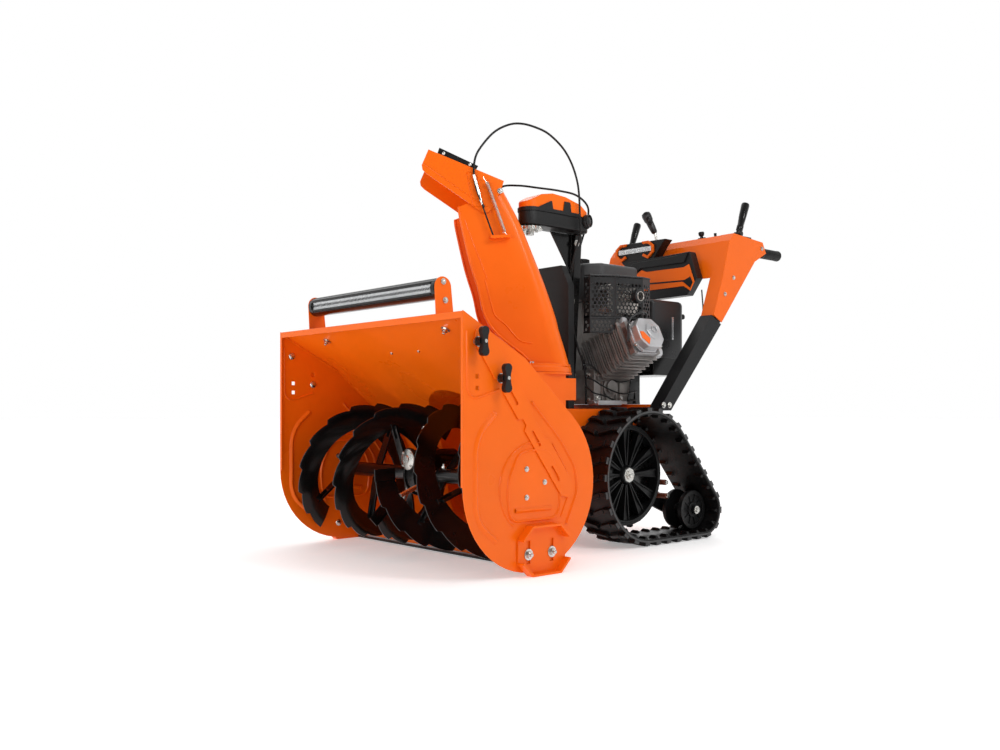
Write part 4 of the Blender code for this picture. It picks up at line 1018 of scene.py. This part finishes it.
def tracks():
    belt, wheel = ("track_belt_{}",), ("drive_wheel_{}",)
    carcass, lugs, edges, blocks = track_shapes()
    pair("track_carcass", carcass, RUBBER, "track_{}", belt, angle=40)
    pair("track_lugs", lugs, RUBBER, "track_{}", belt, bevel=0.0012)
    # The belt's edge strips and edge teeth take the lighter grey, a painted highlight along the track's
    # outline.
    pair("track_edges", edges, EDGE_HIGHLIGHT_GREY, "track_{}", belt, bevel=0.0006)
    pair("track_drive_blocks", blocks, RUBBER, "track_{}", belt, bevel=0.0012)
    dress(BLACK_SATIN, 0.0012, *left_right("track_arm"))
    dress(BLACK_PLASTIC, 0.0010, *left_right("idler"))

    def at(x):
        return (x, *WHEEL_AXIS)

    rim = [ring(0.134, 0.146, at(0.166), at(0.206), 72),
           ring(0.1315, 0.1375, at(0.196), at(0.2085), 72)]
    web = lathe([(0.25, 0.020), (0, 0.1345), (0.25, 0.1345), (1, 0.028), (1, 0.020)], at(0.171),
                at(0.1865), 72, closed=True)
    hub = [lathe([(0, 0.030), (0.7, 0.030), (1, 0.024)], at(0.176), at(0.210), 36),
           rod(at(0.020), at(0.178), 0.0130, 24)]
    teeth = [box((0.168, 0.140, -0.0060), (0.186, 0.1605, 0.0060), turn)
             for turn in steps_round(at(0), 24)]
    nut = [rod(at(0.2095), at(0.2120), 0.0215, 8), rod(at(0.2110), at(0.2165), 0.0140, 6),
           rod(at(0.2095), at(0.2205), 0.0070, 20), dome(at(0.2205), (1, 0, 0), 0.0068, 0.0012)]
    pair("wheel_rim", rim, BLACK_PLASTIC, "wheel_{}", wheel, bevel=0.0010)
    pair("wheel_web", [web], BLACK_GLOSS, "wheel_{}", wheel, bevel=0.0006)
    pair("wheel_spokes", wheel_spokes(), BLACK_PLASTIC, "wheel_{}", wheel, bevel=0.0009)
    pair("wheel_hub", hub, BLACK_PLASTIC, "wheel_{}", wheel, bevel=0.0010)
    pair("wheel_teeth", teeth, BLACK_PLASTIC, "wheel_{}", wheel, bevel=0.0018)
    pair("wheel_nut", nut, ZINC, "wheel_{}", bevel=0.0005)

    bolt = [rod_x(0.2620, 0.2638, *IDLER_AXIS, 0.0120, 28),
            rod_x(0.2630, 0.2690, *IDLER_AXIS, 0.0080, 6),
            dome((0.2690, *IDLER_AXIS), (1, 0, 0), 0.0055, 0.0012)]
    ribs = [box((0.2425, 0.018, -0.0012), (0.2470, 0.047, 0.0012), turn)
            for turn in steps_round((0, *IDLER_AXIS), 10)]
    pair("idler_bolt", bolt, ZINC, "track_{}", bevel=0.0004)
    pair("idler_ribs", ribs, BLACK_PLASTIC, "idler_{}", bevel=0.0004)
    spots = ((0.949, 0.166), (0.955, 0.125))
    pins = [rod_x(0.150, 0.205, *spot, 0.0085, 24) for spot in spots]
    ends = [rod_x(0.205, 0.211, *spot, 0.0060, 20) for spot in spots]
    pair("track_arm_pins", pins, PIN_RED, "track_{}", bevel=0.0006)
    pair("track_arm_pin_ends", ends, ZINC, "track_{}", bevel=0.0006)


# ---------------------------------------------------------------- engine

def perforated(start, end, low, high, thickness=0.0018):
    """A plate of staggered round holes standing between two (x, y) points."""
    start, end = Vector(start), Vector(end)
    run = end - start
    pitch, radius = 0.0125, 0.0050
    rise = pitch * 0.87
    holes = []
    for row in range(int((high - low - 0.012) / rise)):
        v = low + 0.010 + row * rise
        u = 0.009 + (pitch / 2 if row % 2 else 0.0)
        while u < run.length - 0.007:
            holes.append(arc((u, v), radius, 0, 324, 9))
            u += pitch
    plate = prism([(0, low), (run.length, low), (run.length, high), (0, high)], "x", -thickness / 2,
                  thickness / 2, holes)
    return moved(plate, turned((*start, 0), atan2(run.y, run.x) - pi / 2, "Z"))


def on_cylinder(*point):
    """Cylinder coordinates, with x out along its axis."""
    return CYLINDER @ Vector(point)


def cylinder_prism(outline, low, high, holes=()):
    return moved(prism(outline, "x", low, high, holes), CYLINDER)


def muffler_guard():
    corners = [(0.1130, 0.6925), (0.137, 0.6925), (0.174, 0.760), (0.1985, 0.850), (0.1915, 0.8915)]
    foot, waist = 0.608, 0.650
    walls = [perforated(a, b, waist, 0.768) for a, b in zip(corners, corners[1:])]
    walls += [perforated(a, b, 0.606, 0.656) for a, b in zip(corners[:2], corners[1:3])]
    piece("guard_walls", walls, GUARD, stands_for=("muffler_guard",), bevel=0.0003, angle=45)
    slots = []
    for v in (0.706 + 0.0165 * k for k in range(11)):
        end = min(0.137 + (v - 0.692) * 0.53, 0.184) - 0.006
        slots.append([(0.120, v), (end, v + 0.005), (end, v + 0.011), (0.120, v + 0.006)])
    flap = [(0.160, 0.838), (0.1975, 0.850), (0.1920, 0.8915), (0.150, 0.8915)]
    top = [prism([*corners, (0.1130, 0.8915)], "z", 0.7725, 0.7748, slots),
           prism(flap, "z", 0.7450, 0.7750)]
    piece("guard_top", top, GUARD, bevel=0.0010, angle=45)
    lines = ((corners[1:], waist), (corners[1:], 0.7722), (corners[:3], foot))
    edges = [tube([(*spot, height) for spot in line], 0.0026, 10) for line, height in lines]
    posts = ((corners[1:4], waist, 0.772), (corners[1:3], foot, waist))
    edges += [tube([(*spot, low), (*spot, high)], 0.0020, 10)
              for line, low, high in posts for spot in line]
    piece("guard_edges", edges, GUARD)
    outlet = (0.833, 0.716)
    collar = ring(0.0150, 0.0215, (0.188, *outlet), (0.206, *outlet), 36)
    piece("muffler_outlet_ring", [collar], GUARD, bevel=0.0016)


def cylinder():
    out = CYLINDER.to_3x3() @ Vector((1, 0, 0))
    spots = [on_cylinder(0.1895, u, v) for v in (0.03172, -0.03172) for u in (0.05368, -0.05368)]
    piece("valve_cover_bolts", hex_bolts(spots, out, 0.0040, 0.0045, 1.35), ZINC)
    boss = [lathe([(0, 0.027), (0.5, 0.027), (1, 0.023)], on_cylinder(0.2135, 0.010, 0.004),
                  on_cylinder(0.2180, 0.010, 0.004), 8),
            ring(0.0085, 0.0120, on_cylinder(0.2170, 0.016, 0.008), on_cylinder(0.2210, 0.016, 0.008),
                 28),
            cylinder_prism(octagon(0.0540, 0.0490, 0.026), 0.1805, 0.1890,
                           [octagon(0.048, 0.043, 0.022)])]
    piece("valve_cover_boss", boss, CAST, bevel=0.0012)
    label = cylinder_prism([(-0.046, -0.020), (-0.024, -0.040), (-0.012, -0.022), (-0.032, 0.000),
                            (-0.046, 0.000)], 0.2130, 0.2156)
    piece("valve_cover_plate", [label], ORANGE, bevel=0.0006)

    fins = []
    for k in range(21):
        x, half = 0.008 + 0.0075 * k, 0.0735 - 0.0006 * k
        fins.append(cylinder_prism(octagon(half, half - 0.004, 0.018), x, x + 0.0020))
    piece("cylinder_fins", fins, BLOCK, bevel=0.0005)
    head = [cylinder_prism(octagon(0.056, 0.0505, 0.014), 0.1620, 0.1800),
            rod(on_cylinder(0.150, 0.050, -0.030), on_cylinder(0.150, 0.090, -0.030), 0.017),
            rod(on_cylinder(0.160, -0.045, 0.040), on_cylinder(0.160, -0.030, 0.068), 0.012)]
    piece("cylinder_head", head, CAST, bevel=0.0015)


def crankcase():
    spots = [(0.1122, y, z) for y in (0.752, 0.800, 0.850) for z in (0.418, 0.488)]
    bolts = hex_bolts(spots, (1, 0, 0), 0.0050, 0.006)
    spots = [(x, 0.7350, z) for x in (-0.08, -0.03, 0.03, 0.09) for z in (0.415, 0.488)]
    bolts += hex_bolts(spots, (0, -1, 0), 0.0055, 0.006)
    piece("crankcase_bolts", bolts, ZINC)
    ribs = [box((0.106, y, 0.408), (0.1170, y + 0.003, 0.496)) for y in (0.765, 0.782, 0.825, 0.842)]
    ribs += [rod_x(0.106, 0.120, 0.800, 0.452, 0.030, 36), rod_x(0.116, 0.126, 0.800, 0.452, 0.020),
             box((0.060, 0.738, 0.430), (0.108, 0.748, 0.475))]
    piece("crankcase_ribs", ribs, BLOCK, bevel=0.0012)
    braces = [prism([(0.868, DECK_Z), (0.892, DECK_Z), (0.925, 0.540), (0.903, 0.540)], "x",
                    0.120, 0.1235),
              prism([(0.925, DECK_Z), (0.945, DECK_Z), (0.938, 0.470), (0.918, 0.470)], "x",
                    0.105, 0.1085)]
    piece("engine_brackets", braces, GUARD, bevel=0.0010)
    pan = [box((0.030, 0.906, DECK_Z), (0.100, 0.9545, 0.5695)),
           box((0.061, 0.846, 0.503), (0.112, 0.954, 0.568))]
    piece("engine_rear_pan", pan, BLACK_SATIN, bevel=0.0020)
    starter = [box((0.1130, 0.712, 0.3975), (0.152, 0.812, 0.4115))]
    starter += [rod((0.140, start, 0.4045), (0.140, end, 0.4045), radius, 20)
                for start, end, radius in ((0.812, 0.846, 0.0050), (0.702, 0.712, 0.0065))]
    piece("starter_motor", starter, CAST, bevel=0.0016)


def engine_trim():
    """Leads and wires, carburettor, and what is on the tank."""
    route = ((0.176, 0.030, 0.050), (0.205, 0.024, 0.066), (0.214, -0.012, 0.064),
             (0.198, -0.050, 0.046), (0.186, -0.060, 0.016), (0.170, -0.058, -0.010))
    lead = tube(smooth([on_cylinder(*point) for point in route], 8), 0.0032)
    piece("spark_lead", [lead], GUARD)
    boot = rod(on_cylinder(0.166, 0.030, 0.044), on_cylinder(0.186, 0.030, 0.056), 0.0080, 20)
    piece("spark_boot", [boot], RUBBER, bevel=0.0015)
    wires = []
    for k, (x, z) in enumerate(((0.112, 0.455), (0.116, 0.480), (0.104, 0.515))):
        route = ((x, 0.700, z), (x + 0.008, 0.722, z - 0.020 + 0.01 * k), (x + 0.018, 0.760, z - 0.030),
                 (x + 0.020, 0.830, z - 0.048), (x + 0.018, 0.900, z - 0.040))
        wires.append(tube(smooth(route, 6), 0.0024, 10))
    piece("engine_wires", wires, JACKET)
    carburettor = [box((0.060, 0.936, 0.590), (0.120, 0.955, 0.640)),
                   rod_x(0.135, 0.165, 0.905, 0.590, 0.018, 28),
                   rod_x(0.135, 0.155, 0.905, 0.625, 0.010, 20)]
    piece("carburettor", carburettor, CAST, bevel=0.0015)

    cap = (0.022, 0.775)
    knurl = [rod((*spot, 0.8215), (*spot, 0.8365), 0.0022, 8) for spot in arc(cap, 0.0232, 0, 345, 23)]
    top = lathe([(0, 0.0235), (0.85, 0.0235), (1, 0.021)], (*cap, 0.8206), (*cap, 0.8380), 40)
    piece("fuel_cap_top", [top, *knurl], BLACK_PLASTIC, "fuel_cap", ("fuel_cap",), bevel=0.0006)
    seam = box((-0.1105, 0.760, 0.758), (0.1105, 0.9355, 0.762))
    piece("tank_seam", [seam], BLACK_PLASTIC, bevel=0.0015)


def recoil():
    """The starter on the back of the engine, and the ribs of the far side."""
    foot = [(-0.1165, 0.9560), (0.1515, 0.9560), (0.1515, 1.101), (0.133, 1.1185), (-0.098, 1.1185),
            (-0.1165, 1.101)]
    piece("recoil_foot", [prism(foot, "z", 0.4895, 0.5450)], BLACK_GLOSS, bevel=0.0030)
    piece("recoil_name_plate", [box((0.1495, 1.046, 0.602), (0.1510, 1.055, 0.672))], REFLECTOR,
          bevel=0.0003)
    hub, back = RECOIL_HUB, Vector((0, 1, 0))
    drum = [lathe([(0, 0.092), (0.6, 0.092), (1, 0.086), (1, 0.078), (0.5, 0.074), (0.5, 0.040),
                   (1, 0.036), (1, 0.0)], hub - back * 0.001, hub + back * 0.012, 64)]
    drum += [box((0.043, 0.004, -0.0016), (0.074, 0.0095, 0.0016), turn)
             for turn in steps_round(hub, 24, "Y")]
    piece("recoil_starter_housing", drum, BLACK_PLASTIC, bevel=0.0008)
    spots = [(x, hub.y, z) for x, z in arc((hub.x, hub.z), 0.0995, 45, 315, 3)]
    piece("recoil_bolts", hex_bolts(spots, back, 0.0045, 0.0045, 1.35), ZINC)
    left, right, root, tip = (hub + Vector((x, y, 0.074)) for x, y in (
        (0.060, 0.018), (0.112, 0.018), (0.086, -0.001), (0.086, 0.018)))
    pull = [rod(left, right, 0.0085, 24), rod(root, tip, 0.0060, 20, 0.0050)]
    piece("recoil_handle", pull, RUBBER, bevel=0.0020)
    ribs = []
    for x, y, step, width, low, high, count in (
        (-0.1175, 0.985, 0.014, 0.006, 0.520, 0.690, 8),
        (-0.1225, 0.758, 0.018, 0.005, 0.412, 0.494, 8),
        (-0.1025, 0.762, 0.018, 0.005, 0.510, 0.694, 5),
    ):
        ribs += [box((x, y + step * k, low), (x + 0.003, y + width + step * k, high))
                 for k in range(count)]
    piece("engine_far_side_ribs", ribs, BLACK_GLOSS, bevel=0.0008)


def engine():
    """Finishes for the engine's CAD nodes, and the fine shapes on each part of it."""
    dress(BLOCK, 0.0016, "engine_block")
    dress(CAST, 0.0040, "valve_cover", angle=25)
    dress(STEEL, 0.0030, "muffler")
    dress(TANK_GREY, 0.0100, "fuel_tank", angle=25)
    dress(GUARD, 0.0140, "recoil_cover", angle=25)
    muffler_guard()
    cylinder()
    crankcase()
    engine_trim()
    recoil()


# ---------------------------------------------------------------- handlebars and console

def handlebars():
    dress(BLACK_SATIN, 0.0030, *left_right("handlebar"))
    profile = [(0.0, 0.0158), (0.02, 0.0170)]
    for share in (0.08 + 0.07 * k for k in range(12)):
        profile += [(share, 0.0168), (share + 0.035, 0.0154)]
    profile += [(0.94, 0.0175), (0.99, 0.0175), (1.0, 0.0150)]
    grip = lathe(profile, (GRIP_X, 1.405, 0.8990), (GRIP_X, 1.5049, 0.8990), 36)
    pair("hand_grip", [grip], RUBBER, angle=60)
    spots = [(0.2490, y, 0.398) for y in (0.885, 0.912)]
    pair("handlebar_bolts", hex_bolts(spots, (1, 0, 0), 0.0055, 0.005), ZINC)


def console():
    dress(ORANGE, 0.0020, "console", angle=20)
    dress(BLACK_PLASTIC, 0.0060, "console_bezel", angle=25)
    badge = [(-0.095, 0.826), (-0.075, 0.832), (-0.046, 0.8475), (-0.025, 0.839), (0.128, 0.838),
             (0.149, 0.846), (0.170, 0.789), (0.154, 0.761), (0.128, 0.778), (-0.060, 0.776)]
    piece("badge_plate", [prism(badge, "y", 1.1325, 1.1352)], ORANGE, bevel=0.0008)
    inset = [(-0.075, 0.798), (0.124, 0.7925), (0.129, 0.790), (0.155, 0.770), (0.164, 0.787),
             (0.155, 0.806), (0.132, 0.797), (-0.075, 0.803)]
    piece("badge_inset", [prism(inset, "y", 1.1312, 1.1328)], BLACK_SATIN, bevel=0.0005)
    cowl = [(-0.104, 0.838), (-0.084, 0.874), (0.104, 0.878), (0.131, 0.884), (0.146, 0.883),
            (0.130, 0.852), (-0.046, 0.8525), (-0.078, 0.838)]
    piece("badge_cowl", [prism(cowl, "y", 1.1290, 1.1352)], BLACK_PLASTIC, bevel=0.0020)

    bracket = ((0.020, 0.030), (-0.008, 0.030), (-0.030, 0.014), (-0.030, -0.010), (-0.006, -0.030),
               (0.018, -0.018), (0.014, -0.010), (-0.005, -0.020), (-0.021, -0.006), (-0.021, 0.010),
               (-0.005, 0.021), (0.016, 0.021))
    surrounds = [prism([(middle + sign * u, 0.9150 + v) for u, v in bracket], "y", 1.1430, 1.1505)
                 for middle, sign in ((-0.143, 1), (-0.036, -1))]
    piece("headlight_surrounds", surrounds, ORANGE, bevel=0.0014)
    strip = [box((-0.160, 1.1465, 0.9105), (-0.018, 1.1498, 0.9265))]
    strip += [box((x + 0.0087 * k, 1.1450, z), (x + 0.006 + 0.0087 * k, 1.1468, z + 0.0055))
              for x, z in ((-0.157, 0.9125), (-0.153, 0.9195)) for k in range(16)]
    piece("headlight_strip", strip, REFLECTOR, bevel=0.0006)
    piece("headlight_lens", [box((-0.162, 1.1440, 0.9095), (-0.016, 1.1446, 0.9275))], LENS)

    toggle = [rod((0.129, 1.300, 0.930), (0.129, 1.300, 0.942), 0.0080, 24),
              rod((0.129, 1.300, 0.940), (0.129, 1.298, 0.966), 0.0034, 16, 0.0048)]
    piece("console_toggle", toggle, BLACK_PLASTIC, bevel=0.0006)
    route = ((0.186, 1.150, 0.762), (0.190, 1.148, 0.735), (0.197, 1.142, 0.705), (0.206, 1.130, 0.672))
    piece("console_wire", [tube(smooth(route, 6), 0.0022, 10)], JACKET)
    plates = [box((x - 0.019, 1.255, 0.9345), (x + 0.019, 1.330, 0.9395)) for x in (-GRIP_X, GRIP_X)]
    plates += [box((x - 0.020, y - 0.038, 0.9325), (x + 0.020, y + 0.038, 0.9385))
               for x, y, _ in (CHUTE_LEVER, SPEED_LEVER)]
    piece("lever_boots", plates, BLACK_PLASTIC, bevel=0.0016)
    bolts = []
    for sign in (-1, 1):
        spots = [(sign * 0.252, y, z) for y, z in ((1.180, 0.745), (1.225, 0.800), (1.380, 0.908))]
        bolts += hex_bolts(spots, (sign, 0, 0), 0.0048, 0.0040, 1.4)
    bolts += hex_bolts([(x, 1.350, 0.9310) for x in (-0.19, 0.0, 0.19)], (0, 0, 1), 0.0040, 0.0030, 1.4)
    piece("console_bolts", bolts, ZINC)


def levers():
    profile = [(0.0, 0.0085), (0.10, 0.0090), (0.12, 0.0108), (0.26, 0.0112), (0.28, 0.0103),
               (0.55, 0.0122), (0.93, 0.0137), (0.985, 0.0120), (1.0, 0.0070)]
    half = Vector((0.013, 0, 0))
    for name, sign in (("auger_lever", 1), ("traction_lever", -1)):
        base = Vector((sign * GRIP_X, 1.285, 0.948))
        shapes = [lathe(profile, base, base + Vector((0, 0.0400, 0.1030)), 28),
                  rod(base - half, base + half, 0.0083, 28)]
        piece(f"{name}_grip", shapes, BLACK_GLOSS, name, (name,), bevel=0.0006, angle=50)
    base = Vector(SPEED_LEVER)
    knob = [lathe([(0, 0.0058), (0.4, 0.0052), (0.5, 0.0088), (0.85, 0.0102), (1, 0.0075)], base,
                  base + Vector((0, -0.0042, 0.0252)), 28),
            rod(base - half, base + half, 0.0064, 24)]
    piece("speed_knob", knob, BLACK_GLOSS, "speed_lever", ("speed_lever",), bevel=0.0005)

    base = Vector(CHUTE_LEVER)
    neck = base + Vector((-0.006, -0.006, 0.045))
    head = base + Vector((-0.034, -0.026, 0.118))
    half = Vector((0, 0.010, 0))
    shaft = [rod(base - half, base + half, 0.0064, 24),
             tube(smooth([base, neck, neck.lerp(head, 0.3)], 6), 0.0045, 14)]
    piece("chute_lever_shaft", shaft, ZINC, "chute_lever", ("chute_lever",), bevel=0.0004)
    handle = lathe([(0, 0.0065), (0.06, 0.0100), (0.30, 0.0118), (0.55, 0.0125), (0.62, 0.0150),
                    (0.85, 0.0165), (0.95, 0.0145), (1.0, 0.0080)], neck, head, 32)
    piece("chute_lever_handle", [handle], GUARD, "chute_lever", bevel=0.0006, angle=50)
    lift = Vector((0.0060, -0.0105, 0.0015))
    pad = [dome(neck.lerp(head, share) + lift, (0.35, -1, 0.2), 0.0080, 0.0040)
           for share in (0.45, 0.70, 0.88)]
    piece("chute_lever_pad", pad, RUBBER, "chute_lever")


# ---------------------------------------------------------------- floor, light, camera

def stage():
    mesh = bpy.data.meshes.new("floor")
    bm = bmesh.new()
    bmesh.ops.create_grid(bm, x_segments=1, y_segments=1, size=30.0)
    bm.to_mesh(mesh)
    bm.free()
    floor = bpy.data.objects.new("floor", mesh)
    floor.location.z = -0.0005
    BENCH.objects.link(floor)
    white = (1.0, 1.0, 1.0, 1.0)
    material = bpy.data.materials.new("pale_floor")
    material.use_nodes = True
    put(material.node_tree.nodes["Principled BSDF"], Base_Color=(0.98, 0.98, 0.98, 1.0), Roughness=0.6,
        Emission_Color=white, Emission_Strength=0.32)
    mesh.materials.append(material)

    world = bpy.data.worlds.new("studio")
    bpy.context.scene.world = world
    world.use_nodes = True
    nodes, links = world.node_tree.nodes, world.node_tree.links
    facing = nodes.new("ShaderNodeVectorMath")
    facing.operation = "DOT_PRODUCT"
    facing.inputs[1].default_value = (-0.75, 0.66, 0.0)
    fade = put(nodes.new("ShaderNodeMapRange"), From_Min=-0.5, From_Max=0.4, To_Min=0.34, To_Max=1.0)
    sky = put(nodes["Background"], Color=white)
    links.new(nodes.new("ShaderNodeTexCoord").outputs["Generated"], facing.inputs[0])
    links.new(facing.outputs["Value"], fade.inputs["Value"])
    links.new(fade.outputs["Result"], sky.inputs["Strength"])

    for name, place, target, size, power in (
        ("key", (3.4, 0.4, 2.4), (0.3, 0.0, 0.45), (0.55, 0.55), 25),
        ("front", (0.5, -3.4, 0.9), (0.0, -0.4, 0.35), (1.6, 0.9), 24),
        ("top", (-0.6, 0.4, 3.4), (0.0, 0.0, 0.4), (2.0, 2.0), 8),
        ("rim", (-2.6, 2.4, 2.2), (0.0, 0.2, 0.6), (1.5, 1.5), 10),
        ("fill", (1.1, -0.5, 1.5), (0.08, 0.34, 0.72), (0.5, 0.5), 5),
    ):
        light = bpy.data.lights.new(name, "AREA")
        light.shape = "RECTANGLE"
        light.size, light.size_y = size
        light.energy = power
        lamp = bpy.data.objects.new(name, light)
        lamp.location = place
        lamp.rotation_euler = (Vector(target) - Vector(place)).to_track_quat("-Z", "Y").to_euler()
        BENCH.objects.link(lamp)


def camera():
    """A level view from the machine's front left, near the ground."""
    data = bpy.data.cameras.new("camera")
    data.sensor_width = 36.0
    data.lens = 34.63
    data.shift_y = 0.0324
    obj = bpy.data.objects.new("camera", data)
    obj.location = INTO_ROW @ Vector((2.0538, -1.3243, 0.3911))
    obj.rotation_euler = (pi / 2, 0.0, radians(48.89))
    BENCH.objects.link(obj)
    bpy.context.scene.camera = obj
    bpy.context.scene.view_settings.view_transform = "Standard"


housing()
skids()
drift_cutters()
light_bar()
auger()
gearcase()
impeller()
chute()
deflector()
tower()
cables()
tracks()
engine()
handlebars()
console()
levers()
stage()
camera()
